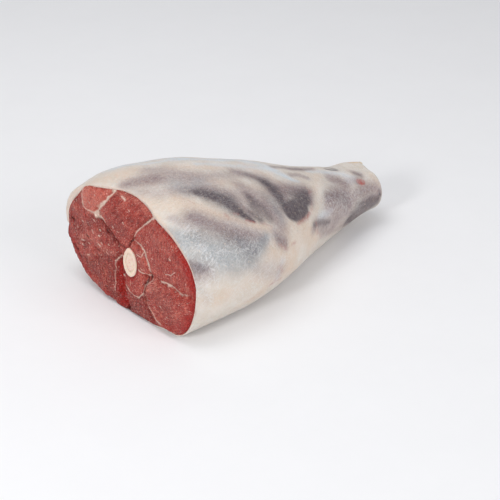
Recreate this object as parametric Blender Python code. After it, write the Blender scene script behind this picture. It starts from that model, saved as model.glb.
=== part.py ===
"""Raw leg of lamb on the bone, lying on its side: meat, fat cover, bone, marrow and heel tendon.

The leg lies along X with the sawn thigh at -X and the shank at +X. -Y is the side with the knee,
+Y the side with the heel tendon. Sizes are in millimetres until the meshes are made.
"""

import math
from collections import namedtuple

import bmesh
import bpy
import numpy as np

MM = 0.001
TAU = 2 * math.pi

# One Station is the outline of the leg at one place along it. The outline's middle is at (mid, waist),
# it reaches near and far to the sides, top and bottom up and down, and leans up by tilt towards +Y.
# full is its squareness on the near side, where 2 is an ellipse.
Station = namedtuple("Station", "x mid near far waist top bottom tilt full")
STATIONS = (
    Station(-166, 4, 93, 94, 51, 49.5, 62, 0.095, 2.6),
    Station(-146, 5, 94, 96, 52, 55, 63, 0.090, 2.5),
    Station(-122, 5, 93, 94, 52, 59, 64, 0.090, 2.4),
    Station(-72, 3, 87, 82, 50, 61, 62, 0.080, 2.3),
    Station(-22, 2, 71, 62, 46, 51, 56, 0.060, 2.2),
    Station(30, 1, 45, 48, 40, 38, 48, 0.040, 2.1),
    Station(80, 1, 27, 37, 33, 29, 33, 0.020, 2.0),
    Station(112, 0, 20, 27, 30, 23, 22, 0.0, 2.0),
    Station(124, 0, 19, 23, 29, 21, 20, 0.0, 2.0),
)
# The same squareness for the far side, above its widest height and below it.
FAR_FULL, FAR_UNDER_FULL = 2.0, 1.7
FLOOR_BLEND = 9.0

# The saw cut is turned a little about Z and leans back, and the form behind it follows over a distance.
CUT_X = STATIONS[0].x
CUT_TURN = math.radians(5.0)
CUT_LEAN = math.radians(10.0)
CUT_FOLLOWS = 120.0

# The shank's end rounds over from the last station to an open ring.
END_X = STATIONS[-1].x
END_DEPTH = 8.0
END_SCALE = 0.52

# Soft swells and hollows of the outside: place along X, angle from +Y over the top, reach of each, height.
Swell = namedtuple("Swell", "x angle length width height")
SWELLS = (
    Swell(-142, 54, 22, 30, 2.6),
    Swell(-92, 122, 46, 16, -2.2),
    Swell(-40, 96, 52, 15, -2.4),
    Swell(-62, 158, 36, 26, 2.4),
    Swell(2, 66, 40, 20, 2.6),
    Swell(36, 128, 22, 12, 2.2),
    Swell(52, 152, 16, 30, 2.0),
    Swell(66, 112, 20, 13, -2.2),
    Swell(78, 66, 28, 20, 1.8),
    Swell(98, 140, 20, 26, -1.4),
)
# The heel tendon lifts the cover into a ridge that grows towards the shank's end.
CORD_ANGLE = math.radians(50.0)
CORD_WIDTH = math.radians(20.0)
CORD_START, CORD_FULL = 68.0, 108.0
CORD_HEIGHT = 9.0

# Thickness of the fat and fell around the meat, and how far its edge stands back from the cut.
FAT_NEAR, FAT_TOP, FAT_FAR, FAT_UNDER, FAT_SHANK = 2.0, 3.0, 4.4, 1.4, 1.8
FAT_THINS_FROM, FAT_THINS_OVER = -40.0, 130.0
EDGE_BACK = 0.7
EDGE_BACK_UNDER = 6.0
EDGE_WAVES, EDGE_WAVE = 7, 0.25
UNDER_ANGLE = math.radians(300.0)
UNDER_WIDTH = math.radians(48.0)
GAP = 0.3

# Meshes share their rows and columns, so that faces that lie on each other stay parallel. The rows stand
# closer together towards the cut.
SIDES = 48
BODY_ROWS = 22
END_ROWS = 4
FACE_ROWS = 12
SHANK_FACE_ROWS = 3
CROWDING = 1.12

# The bone: its middle, half width and half height, and the degrees that its tall way leans towards +Y,
# where it shows at the cut, inside, and at the shank.
BoneRing = namedtuple("BoneRing", "x y z wide high lean")
BONE = (
    BoneRing(CUT_X, 1.0, 44.5, 7.8, 12.2, 19),
    BoneRing(-120, 0.5, 42.0, 8.2, 10.8, 12),
    BoneRing(-40, 0.5, 38.0, 9.0, 9.5, 4),
    BoneRing(40, 0.5, 33.5, 8.5, 8.5, 0),
    BoneRing(END_X, 1.0, 29.0, 8.8, 9.2, 0),
)
BONE_PROUD = 0.8
BONE_KNUCKLE = 6.5
KNUCKLE_ROWS = 4
BONE_PEAK, BONE_PEAK_WIDTH = 0.10, 0.45
MARROW_SHARE = 0.62
MARROW_DEPTH = 90.0
MARROW_SHORT = 1.0
MARROW_RISE, MARROW_DOME, MARROW_DOME_SHARE = 0.3, 0.7, 0.6

# The tendon's stub, in the ridge of the cover and out past its end.
TENDON_FROM = np.array((107.0, 19.0, 52.8))
TENDON_TO = np.array((132.0, 17.2, 48.6))
TENDON_WIDE, TENDON_HIGH = 4.4, 3.4
TENDON_SIDES, TENDON_ROWS = 16, 6
# The stub is a little thicker in the middle. Its tip takes up the last part of its length, in two steps.
TENDON_BULGE = 0.14
TENDON_TIP, TENDON_CAP, TENDON_CAP_SHARE = 3.0, 0.8, 0.6

# The muscles of the cut bulge a little: middle (y, z), reach (y, z) and height.
Muscle = namedtuple("Muscle", "y z wide high height")
MUSCLES = (
    Muscle(63, 84, 15, 10, 1.4),
    Muscle(20, 82, 24, 14, 1.8),
    Muscle(-45, 70, 30, 22, 2.2),
    Muscle(-62, 28, 24, 16, 2.2),
    Muscle(-13, 54, 9, 9, 1.0),
    Muscle(-25, 13, 20, 10, 1.3),
    Muscle(-8, 27, 8, 8, 1.2),
    Muscle(62, 52, 26, 22, 1.4),
)
# The relief fades out over these shares of the way from the bone to the rim.
RELIEF_FROM_BONE, RELIEF_TO_RIM = 0.15, 0.12
# Seams between the muscles are grooves: half width, depth, then the (y, z) points they run through.
Seam = namedtuple("Seam", "wide deep points")
SEAMS = (
    Seam(2.2, 1.8, ((34, 100), (40, 92), (46, 84), (52, 76), (43, 70), (31, 63), (18, 55))),
    Seam(2.2, 1.8, ((-22, 93), (-14, 88), (-6, 81), (-1, 74), (1, 66))),
    Seam(2.0, 1.2, ((0, 66), (-12, 66), (-19, 61), (-25, 53), (-27, 45), (-22, 40))),
    Seam(2.0, 1.2, ((-27, 44), (-42, 44), (-56, 46), (-70, 43), (-84, 46))),
    Seam(2.0, 1.4, ((-22, 40), (-24, 28), (-30, 16), (-40, 6))),
    Seam(4.0, 5.0, ((14, 44), (15, 32), (9, 16), (0, 3))),
)


def smooth_step(value):
    value = np.clip(value, 0.0, 1.0)
    return value * value * (3 - 2 * value)


def between(table, x):
    """The table's values at x, on smooth curves through its rows. Column 0 is the row's place."""
    table = np.array(table, float)
    place, value = table[:, 0], table[:, 1:]
    slope = np.diff(value, axis=0) / np.diff(place)[:, None]
    tangent = np.vstack([slope[:1], (slope[:-1] + slope[1:]) / 2, slope[-1:]])
    row = np.clip(np.searchsorted(place, x) - 1, 0, len(place) - 2)
    length = np.diff(place)[row][:, None]
    t = (x - place[row])[:, None] / length
    start = (2 * t**3 - 3 * t**2 + 1) * value[row] + (t**3 - 2 * t**2 + t) * length * tangent[row]
    end = (3 * t**2 - 2 * t**3) * value[row + 1] + (t**3 - t**2) * length * tangent[row + 1]
    return start + end


def soft_floor(z):
    """Heights kept at zero or more, with a rounded corner where the flesh meets the surface it lies on."""
    t = np.clip((z + FLOOR_BLEND) / (2 * FLOOR_BLEND), 0, 1)
    return np.where(z >= FLOOR_BLEND, z, FLOOR_BLEND * t * t)


def power(value, exponent):
    return np.sign(value) * np.abs(value) ** exponent


def apart(angle, middle):
    """The signed turn from middle to angle, within half a turn."""
    return (angle - middle + math.pi) % TAU - math.pi


def swell(x, angle, with_cord):
    """How far the outside stands proud of the plain form."""
    height = np.zeros(np.broadcast(x, angle).shape)
    for s in SWELLS:
        turn = apart(angle, math.radians(s.angle)) / math.radians(s.width)
        height += s.height * np.exp(-(((x - s.x) / s.length) ** 2) - turn**2)
    if with_cord:
        grown = smooth_step((x - CORD_START) / (CORD_FULL - CORD_START))
        height += CORD_HEIGHT * grown * np.exp(-((apart(angle, CORD_ANGLE) / CORD_WIDTH) ** 2))
    return height


def outline(x, angle, with_cord):
    """(y, z) of the leg's outline at x, before the cut's slant."""
    mid, near, far, waist, top, bottom, tilt, full = between(STATIONS, x.ravel()).T.reshape(8, *x.shape)
    c, s = np.cos(angle), np.sin(angle)
    full = np.where(c > 0, np.where(s > 0, FAR_FULL, FAR_UNDER_FULL), full)
    y = np.where(c > 0, far, near) * power(c, 2 / full)
    z = np.where(s > 0, top, bottom) * power(s, 2 / full)
    reach = 1 + swell(x, angle, with_cord) / np.hypot(y, z)
    y, z = y * reach, z * reach
    return mid + y, soft_floor(waist + z + tilt * y)


def cut_slant(x, y, z):
    """How far the slant of the cut moves a point along X."""
    follows = 1 - smooth_step((x - CUT_X) / CUT_FOLLOWS)
    return follows * (z * math.tan(CUT_LEAN) / math.cos(CUT_TURN) - y * math.tan(CUT_TURN))


def skin(x, angle, rolled, inset, with_cord=True):
    """Points of the leg's outside, or of a surface that lies inset within it.

    rolled is 0 along the leg and grows to a quarter turn over the shank's end.
    """
    step = math.radians(0.5)
    y, z = outline(x, angle, with_cord)
    y_next, z_next = outline(x, angle + step, with_cord)
    y_last, z_last = outline(x, angle - step, with_cord)
    length = np.hypot(y_next - y_last, z_next - z_last)
    out_y, out_z = (z_next - z_last) / length, (y_last - y_next) / length
    mid, waist = STATIONS[-1].mid, STATIONS[-1].waist
    scale = END_SCALE + (1 - END_SCALE) * np.cos(rolled)
    y = np.where(rolled > 0, mid + (y - mid) * scale, y) - inset * out_y * np.cos(rolled)
    z = np.where(rolled > 0, waist + (z - waist) * scale, z) - inset * out_z * np.cos(rolled)
    along = x + cut_slant(x, y, z) + (END_DEPTH - inset) * np.sin(rolled)
    return np.stack([along, y, z], axis=-1)


def fat_thickness(x, angle):
    """Thicker on top and on the far side, thin underneath and down the shank."""
    c, s = np.cos(angle), np.sin(angle)
    side = np.where(c > 0, FAT_FAR, FAT_NEAR) * c * c
    height = np.where(s > 0, FAT_TOP, FAT_UNDER) * s * s
    shank = smooth_step((x - FAT_THINS_FROM) / FAT_THINS_OVER)
    return (side + height) * (1 - shank) + FAT_SHANK * shank


def edge_back(angle):
    """How far the fat's edge stands behind the cut. Underneath, ragged meat shows past it."""
    under = np.exp(-((apart(angle, UNDER_ANGLE) / UNDER_WIDTH) ** 2))
    wave = 1 - EDGE_WAVE + EDGE_WAVE * np.sin(EDGE_WAVES * angle)
    return EDGE_BACK + EDGE_BACK_UNDER * under * wave


def sleeve_rows():
    """x, angle and roll of every point of the cover, row by row from the cut to the shank's end."""
    angle = np.arange(SIDES) * TAU / SIDES
    share = np.linspace(0, 1, BODY_ROWS) ** CROWDING
    back = edge_back(angle)[None, :]
    body = CUT_X + back + share[:, None] * (END_X - CUT_X - back)
    roll = np.linspace(0, math.pi / 2, END_ROWS + 1)[1:]
    x = np.vstack([body, np.full((END_ROWS, SIDES), float(END_X))])
    rolled = np.vstack([np.zeros_like(body), np.repeat(roll[:, None], SIDES, axis=1)])
    return x, np.broadcast_to(angle, x.shape), rolled


def bone_ring(x, angle, grow):
    """(y, z) of the bone at x, with a low peak on its upper side."""
    y, z, wide, high, lean = between(BONE, np.atleast_1d(float(x)))[0]
    lean = math.radians(lean)
    peak = 1 + BONE_PEAK * np.exp(-((apart(angle, math.pi / 2) / BONE_PEAK_WIDTH) ** 2))
    across = (wide + grow) * np.cos(angle)
    up = (high + grow) * peak * np.sin(angle)
    return y + across * math.cos(lean) + up * math.sin(lean), z + up * math.cos(lean) - across * math.sin(lean)


def slanted_ring(x, y, z):
    return np.stack([x + cut_slant(np.full_like(y, x), y, z), y, z], axis=-1)


def distance_to(points, y, z):
    """Distance from each (y, z) to a line through the points."""
    nearest = np.full(np.shape(y), np.inf)
    for (y0, z0), (y1, z1) in zip(points[:-1], points[1:]):
        along = ((y - y0) * (y1 - y0) + (z - z0) * (z1 - z0)) / ((y1 - y0) ** 2 + (z1 - z0) ** 2)
        along = np.clip(along, 0, 1)
        nearest = np.minimum(nearest, np.hypot(y - y0 - along * (y1 - y0), z - z0 - along * (z1 - z0)))
    return nearest


def cut_relief(y, z, share):
    """How far the meat stands out of the plane of the cut. share is 0 at the bone and 1 at the rim."""
    height = np.zeros(np.shape(y))
    for m in MUSCLES:
        height += m.height * np.exp(-(((y - m.y) / m.wide) ** 2) - ((z - m.z) / m.high) ** 2)
    for seam in SEAMS:
        height -= seam.deep * np.exp(-((distance_to(seam.points, y, z) / seam.wide) ** 2))
    return height * smooth_step(share / RELIEF_FROM_BONE) * smooth_step((1 - share) / RELIEF_TO_RIM)


def mesh_object(name, rows, colour, roughness):
    """A closed solid from rings of points, each joined to the next. A last row of one point closes an end."""
    mesh = bmesh.new()
    rings = [[mesh.verts.new(point) for point in np.asarray(row) * MM] for row in rows]
    pairs = list(zip(rings[:-1], rings[1:]))
    if len(rings[0]) == len(rings[-1]) > 1:
        pairs.append((rings[-1], rings[0]))
    for one, two in pairs:
        for i in range(max(len(one), len(two))):
            j = (i + 1) % max(len(one), len(two))
            if len(one) == 1:
                mesh.faces.new((one[0], two[j], two[i]))
            elif len(two) == 1:
                mesh.faces.new((one[i], one[j], two[0]))
            else:
                mesh.faces.new((one[i], one[j], two[j], two[i]))
    bmesh.ops.recalc_face_normals(mesh, faces=mesh.faces)
    bmesh.ops.triangulate(mesh, faces=mesh.faces)
    data = bpy.data.meshes.new(name)
    mesh.to_mesh(data)
    mesh.free()
    data.shade_smooth()
    data.set_sharp_from_angle(angle=math.radians(40))
    data.materials.append(finish(name, colour, roughness))
    part = bpy.data.objects.new(name, data)
    bpy.context.scene.collection.objects.link(part)
    return part


def finish(name, colour, roughness):
    material = bpy.data.materials.new(name)
    material.use_nodes = True
    shader = material.node_tree.nodes["Principled BSDF"]
    shader.inputs["Base Color"].default_value = (*colour, 1.0)
    shader.inputs["Roughness"].default_value = roughness
    shader.inputs["Metallic"].default_value = 0.0
    material.diffuse_color = (*colour, 1.0)
    return material


def fat_cover():
    """The sleeve of fat and fell: its outside, and back along its inside."""
    x, angle, rolled = sleeve_rows()
    thick = fat_thickness(x, angle)
    outside = skin(x, angle, rolled, 0.0)
    inside = skin(x, angle, rolled, thick, with_cord=False)
    rows = [*outside, *inside[::-1]]
    return mesh_object("fat_cover", rows, (0.78, 0.69, 0.62), 0.42)


def lean_meat():
    """The meat: its outside, the face of the cut with its relief, the bone's channel, the shank's face."""
    x, angle, rolled = sleeve_rows()
    inset = fat_thickness(x, angle) + GAP
    outside = skin(x, angle, rolled, inset, with_cord=False)
    turn = angle[0]
    rim_x = np.full((1, SIDES), float(CUT_X))
    rim = skin(rim_x, turn[None, :], np.zeros_like(rim_x), fat_thickness(rim_x, turn) + GAP, False)[0]
    hole_y, hole_z = bone_ring(CUT_X, turn, GAP)
    face = []
    for share in np.linspace(0, 1, FACE_ROWS + 1)[:-1]:
        y = hole_y + share * (rim[:, 1] - hole_y)
        z = hole_z + share * (rim[:, 2] - hole_z)
        ring = slanted_ring(CUT_X, y, z)
        ring[:, 0] -= cut_relief(y, z, share)
        face.append(ring)
    last = outside[-1]
    end_y, end_z = bone_ring(END_X, turn, GAP)
    end_hole = np.stack([np.full(SIDES, last[:, 0].mean()), end_y, end_z], axis=-1)
    shank_face = [last + share * (end_hole - last) for share in np.linspace(0, 1, SHANK_FACE_ROWS + 1)[1:]]
    channel = [slanted_ring(ring.x, *bone_ring(ring.x, turn, GAP)) for ring in BONE[-2:0:-1]]
    rows = [*face, rim, *outside, *shank_face, *channel]
    return mesh_object("lean_meat", rows, (0.42, 0.085, 0.07), 0.38)


def leg_bone():
    """The bone: its sawn end at the cut, the hollow for the marrow, its length, and the rounded knuckle."""
    turn = np.arange(SIDES) * TAU / SIDES
    length = [slanted_ring(ring.x, *bone_ring(ring.x, turn, 0.0)) for ring in BONE]
    length[0][:, 0] -= BONE_PROUD
    middle = np.array([0.0, BONE[-1].y, BONE[-1].z])
    knuckle = []
    for roll in np.linspace(0, math.pi / 2, KNUCKLE_ROWS + 1)[1:-1]:
        ring = middle + (length[-1] - middle) * (1, math.cos(roll), math.cos(roll))
        knuckle.append(ring + ((END_DEPTH - BONE_KNUCKLE + BONE_KNUCKLE * math.sin(roll)), 0, 0))
    length[-1] = length[-1] + (END_DEPTH - BONE_KNUCKLE, 0, 0)
    tip = [(END_X + END_DEPTH, BONE[-1].y, BONE[-1].z)]
    mouth = marrow_ring(CUT_X, turn, GAP)
    mouth[:, 0] -= BONE_PROUD
    bottom = marrow_ring(CUT_X + MARROW_DEPTH, turn, GAP)
    hollow_end = [bottom.mean(axis=0)]
    rows = [hollow_end, bottom, mouth, *length, *knuckle, tip]
    return mesh_object("leg_bone", rows, (0.86, 0.76, 0.66), 0.5)


def marrow_ring(x, turn, grow):
    """A ring of the marrow at x, a scaled copy of the bone's."""
    y, z = bone_ring(x, turn, 0.0)
    y = y.mean() + (y - y.mean()) * MARROW_SHARE + grow * np.cos(turn)
    z = z.mean() + (z - z.mean()) * MARROW_SHARE + grow * np.sin(turn)
    return slanted_ring(x, y, z)


def bone_marrow():
    """The marrow, a rod a little shorter than its hollow, with a low dome at the cut."""
    turn = np.arange(SIDES) * TAU / SIDES
    front = marrow_ring(CUT_X, turn, 0.0)
    back = marrow_ring(CUT_X + MARROW_DEPTH - MARROW_SHORT, turn, 0.0)
    dome = front.mean(axis=0) + (front - front.mean(axis=0)) * MARROW_DOME_SHARE
    front[:, 0] -= MARROW_RISE
    dome[:, 0] -= MARROW_DOME
    rows = [[dome.mean(axis=0)], dome, front, back, [back.mean(axis=0)]]
    return mesh_object("bone_marrow", rows, (0.80, 0.56, 0.47), 0.45)


def tendon_rows(grow):
    """Rings of the tendon's stub, with a rounded outer end."""
    along = TENDON_TO - TENDON_FROM
    length = np.linalg.norm(along)
    along = along / length
    # The stub's wide way lies along the ridge's foot, square to the line from the shank's middle.
    out = np.array((0.0, math.cos(CORD_ANGLE), math.sin(CORD_ANGLE)))
    out -= out.dot(along) * along
    out /= np.linalg.norm(out)
    side = np.cross(out, along)
    turn = np.arange(TENDON_SIDES) * TAU / TENDON_SIDES
    rows = [[TENDON_FROM - grow * along]]
    for row in range(TENDON_ROWS):
        share = row / (TENDON_ROWS - 1)
        place = TENDON_FROM + along * (share * (length - TENDON_TIP) - grow)
        size = 1 - TENDON_BULGE + TENDON_BULGE * math.sin(share * math.pi)
        across = np.outer(np.cos(turn), side) * (TENDON_WIDE + grow)
        up = np.outer(np.sin(turn), out) * (TENDON_HIGH + grow)
        rows.append(place + size * (across + up))
    cap = TENDON_TO - along * TENDON_CAP
    rows.append(cap + (rows[-1] - rows[-1].mean(axis=0)) * TENDON_CAP_SHARE + grow * along)
    rows.append([TENDON_TO + grow * along])
    return rows


def heel_tendon(cover):
    """The stub of the heel tendon, and the pocket for it in the cover's ridge."""
    pocket = mesh_object("tendon_pocket", tendon_rows(GAP), (0.5, 0.5, 0.5), 0.5)
    cut = cover.modifiers.new("tendon pocket", "BOOLEAN")
    cut.operation = "DIFFERENCE"
    cut.object = pocket
    pocket.hide_render = True
    pocket.display_type = "WIRE"
    return mesh_object("heel_tendon", tendon_rows(0.0), (0.74, 0.55, 0.40), 0.5)


def centre_over_base(parts):
    """Moves every mesh so that the whole leg's box is centred on the origin, with its base at zero."""
    points = np.array([vertex.co for part in parts for vertex in part.data.vertices])
    low, high = points.min(axis=0), points.max(axis=0)
    middle = (low + high) / 2
    for part in bpy.context.scene.collection.objects:
        for vertex in part.data.vertices:
            vertex.co.x -= middle[0]
            vertex.co.y -= middle[1]
            vertex.co.z -= low[2]


def main():
    for old in list(bpy.data.objects):
        bpy.data.objects.remove(old, do_unlink=True)
    cover = fat_cover()
    parts = [cover, lean_meat(), leg_bone(), bone_marrow(), heel_tendon(cover)]
    centre_over_base(parts)


main()
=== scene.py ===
"""A raw leg of lamb on the bone, dressed for a soft studio picture.

The leg lies along X with the sawn thigh at -X and the shank at +X. -Y is the side with the knee,
+Y the side with the heel tendon. Sizes in the classes are millimetres in the leg's own axes, whose
origin lies under the thigh; LegForm.place puts them into the frame, in metres.
"""

import itertools
import logging
import math
from dataclasses import astuple, dataclass
from enum import Enum
from functools import partial

import bpy
import numpy as np
from mathutils import Matrix, Vector


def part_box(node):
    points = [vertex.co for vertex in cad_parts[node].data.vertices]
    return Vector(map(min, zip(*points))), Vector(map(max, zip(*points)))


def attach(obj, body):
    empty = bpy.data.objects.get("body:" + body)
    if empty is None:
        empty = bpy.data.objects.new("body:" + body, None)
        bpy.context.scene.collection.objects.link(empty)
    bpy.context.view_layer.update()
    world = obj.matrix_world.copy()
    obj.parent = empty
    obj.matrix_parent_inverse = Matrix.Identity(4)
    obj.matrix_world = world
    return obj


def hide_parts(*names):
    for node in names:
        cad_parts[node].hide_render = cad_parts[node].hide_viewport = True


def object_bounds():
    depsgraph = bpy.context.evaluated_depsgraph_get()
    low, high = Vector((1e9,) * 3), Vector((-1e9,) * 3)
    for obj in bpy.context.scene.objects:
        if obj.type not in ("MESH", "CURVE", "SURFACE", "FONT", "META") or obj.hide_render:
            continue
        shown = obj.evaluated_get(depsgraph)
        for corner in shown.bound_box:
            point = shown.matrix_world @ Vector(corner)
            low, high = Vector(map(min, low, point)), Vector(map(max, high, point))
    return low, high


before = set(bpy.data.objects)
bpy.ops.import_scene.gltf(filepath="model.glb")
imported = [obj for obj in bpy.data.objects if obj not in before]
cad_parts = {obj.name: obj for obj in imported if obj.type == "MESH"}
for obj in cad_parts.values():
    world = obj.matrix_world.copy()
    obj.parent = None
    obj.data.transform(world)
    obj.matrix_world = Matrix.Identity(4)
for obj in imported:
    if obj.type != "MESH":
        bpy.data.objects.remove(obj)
CAD_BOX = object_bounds()

LOG = logging.getLogger("leg_of_lamb")
MM = 0.001
TAU = 2 * math.pi
BODY = "root"

Array = np.ndarray
Pairs = tuple[tuple[float, float], ...]
Triple = tuple[float, float, float]
Colour = tuple[float, float, float, float]
Socket = bpy.types.NodeSocket
Material = bpy.types.Material
Object = bpy.types.Object


class Slot(Enum):
    """Material slots of the record."""

    LEAN = "lean"
    FAT = "fat"
    BONE = "bone"
    MARROW = "marrow"
    TENDON = "tendon"


class Paint(Enum):
    """Masks that the fell's strokes paint, each an attribute of its mesh."""

    DARK = "dark_muscle"
    LILAC = "lilac_film"
    SHEEN = "blue_sheen"
    WARM = "warm_fat"
    PALE = "pale_fat"
    # Painted sheen: a bluish reflection of the light, painted into the fat's colour mostly along the top.
    COOL = "cool_film"
    BLOOD = "blood_tinge"
    FIBRE = "white_fibre"


class CutPaint(Enum):
    """Masks on the face of the cut, each an attribute of its mesh."""

    SEAM = "pale_seam"
    # Painted shade: darkens the clefts and pits between the muscles, where shade falls.
    GAP = "dark_gap"
    BRIGHT = "bright_red"
    # A pink film over the meat, and painted highlights where its ridges and edges catch the light.
    VEIL = "pink_veil"
    SHADE = "deep_shade"


# Small helpers for arrays


def smooth_step(value: Array | float) -> Array:
    """Zero below 0, one above 1 and a smooth rise between."""
    value = np.clip(value, 0.0, 1.0)
    return value * value * (3 - 2 * value)


def power(value: Array, exponent: Array) -> Array:
    """A power that keeps the value's sign."""
    return np.sign(value) * np.abs(value) ** exponent


def apart(angle: Array, middle: float) -> Array:
    """The signed turn from middle to angle, within half a turn, in radians."""
    return (angle - middle + math.pi) % TAU - math.pi


def turns(columns: int) -> Array:
    """Evenly spaced angles of one whole turn, in radians."""
    return np.arange(columns) * TAU / columns


def between(table: Array, x: Array) -> Array:
    """Values on smooth curves through a table's rows.

    Args:
        table: Rows whose column 0 is a place and whose other columns are values there.
        x: The places that are asked for, as a flat array.

    Returns:
        One row of values for each place.
    """
    place, value = table[:, 0], table[:, 1:]
    slope = np.diff(value, axis=0) / np.diff(place)[:, None]
    tangent = np.vstack([slope[:1], (slope[:-1] + slope[1:]) / 2, slope[-1:]])
    row = np.clip(np.searchsorted(place, x) - 1, 0, len(place) - 2)
    length = np.diff(place)[row][:, None]
    t = (x - place[row])[:, None] / length
    start = (2 * t**3 - 3 * t**2 + 1) * value[row] + (t**3 - 2 * t**2 + t) * length * tangent[row]
    end = (3 * t**2 - 2 * t**3) * value[row + 1] + (t**3 - t**2) * length * tangent[row + 1]
    return start + end


def distance_to_line(points: Array, line: Array, width: Array | None = None) -> Array:
    """Distance from each point to a line of straight pieces.

    Args:
        points: Places, of any number of axes, in the last axis.
        line: The line's corners, one a row.
        width: The line's half width at each corner, to have the distance as a share of it.

    Returns:
        An array of distances, shaped as points without its last axis.
    """
    width = np.ones(len(line)) if width is None else width
    nearest = np.full(points.shape[:-1], np.inf)
    for one, two, narrow, wide in zip(line[:-1], line[1:], width[:-1], width[1:]):
        way = two - one
        along = np.clip(((points - one) @ way) / (way @ way), 0, 1)
        away = np.linalg.norm(points - one - along[..., None] * way, axis=-1)
        nearest = np.minimum(nearest, away / (narrow + along * (wide - narrow)))
    return nearest


def inside_corners(spots: Array, corners: Array) -> Array:
    """Whether each spot lies within a closed row of corners.

    Args:
        spots: (y, z) places in the last axis.
        corners: The corners, one a row.

    Returns:
        An array of truth values.
    """
    inside = np.zeros(spots.shape[:-1], bool)
    y, z = spots[..., 0], spots[..., 1]
    for (y1, z1), (y2, z2) in zip(corners, np.roll(corners, -1, axis=0)):
        crosses = (z1 > z) != (z2 > z)
        rise = z2 - z1 if z2 != z1 else 1e-9
        inside ^= crosses & (y < y1 + (z - z1) * (y2 - y1) / rise)
    return inside


def linear(red: int, green: int, blue: int) -> Colour:
    """A colour given in the 0 to 255 steps of a screen, as the shaders' linear values."""
    channels = [step / 255 for step in (red, green, blue)]
    return (*[c / 12.92 if c <= 0.04045 else ((c + 0.055) / 1.055) ** 2.4 for c in channels], 1.0)


# Large odd numbers that mix a cell's place and the seed into what looks random
CELL_MIX = np.array([73856093, 19349663, 83492791])
SEED_MIX = 2654435761
LAST_MIX = 1274126177


@dataclass(frozen=True)
class Roughness:
    """Smooth random relief in space, the same on every run.

    Its largest lumps are size millimetres apart, and each further layer has lumps of half the size
    and half the height. Points are multiplied by stretch and moved by shift before they are used.
    """

    seed: int
    size: float
    height: float = 1.0
    layers: int = 3
    stretch: Triple = (1.0, 1.0, 1.0)
    shift: float = 0.0
    layer_shift: float = 17.3
    layer_sum: float = 1.6

    def corner(self, cell: Array) -> Array:
        """Random values of cells.

        Args:
            cell: Whole numbers, three to a cell, in the last axis.

        Returns:
            A value in -1 to 1 for each cell.
        """
        mixed = np.bitwise_xor.reduce(cell * CELL_MIX, axis=-1) ^ self.seed * SEED_MIX
        mixed = (mixed ^ (mixed >> 13)) * LAST_MIX & 0xFFFFFFFF
        mixed = (mixed ^ (mixed >> 16)) & 0xFFFF
        return mixed / 0x7FFF - 1.0

    def smooth(self, points: Array) -> Array:
        """Smooth values between whole-numbered places.

        Args:
            points: Places, of three axes, in the last axis.

        Returns:
            A value in -1 to 1 for each point.
        """
        cell = np.floor(points).astype(np.int64)
        part = points - cell
        blend = part**3 * (part * (part * 6 - 15) + 10)
        total = np.zeros(points.shape[:-1])
        for corner in itertools.product((0, 1), repeat=3):
            share = np.prod(np.where(corner, blend, 1 - blend), axis=-1)
            total += share * self.corner(cell + np.array(corner))
        return total

    def at(self, points: Array) -> Array:
        """The relief at points.

        Args:
            points: Places in millimetres, in the last axis.

        Returns:
            A height for each point, of about -height to height.
        """
        points = points * self.stretch + self.shift
        total = np.zeros(points.shape[:-1])
        for layer in range(self.layers):
            total += self.smooth(points * 2**layer / self.size + self.layer_shift * layer) / 2**layer
        return self.height * (total / self.layer_sum)


# The leg's form, from the same named sizes as its solids


@dataclass(frozen=True)
class Station:
    """The leg's outline at one place: its middle, its reach to each side, its lean and its squareness."""

    x: float
    mid: float
    near: float
    far: float
    waist: float
    top: float
    bottom: float
    tilt: float
    full: float


@dataclass(frozen=True)
class Swell:
    """A soft swell or hollow of the outside: its place, the turn in degrees, its reach and its height."""

    x: float
    angle: float
    length: float
    width: float
    height: float


@dataclass(frozen=True)
class BoneRing:
    """The bone at one place: its middle, its half sizes, and the degrees that it leans towards +Y."""

    x: float
    y: float
    z: float
    wide: float
    high: float
    lean: float


@dataclass(frozen=True)
class Muscle:
    """A muscle of the cut: its middle and reach in (y, z), and its bulge."""

    y: float
    z: float
    wide: float
    high: float
    height: float


@dataclass(frozen=True)
class Seam:
    """A groove between two muscles of the cut: half width, depth and the (y, z) points it runs through."""

    wide: float
    deep: float
    points: Pairs


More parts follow.
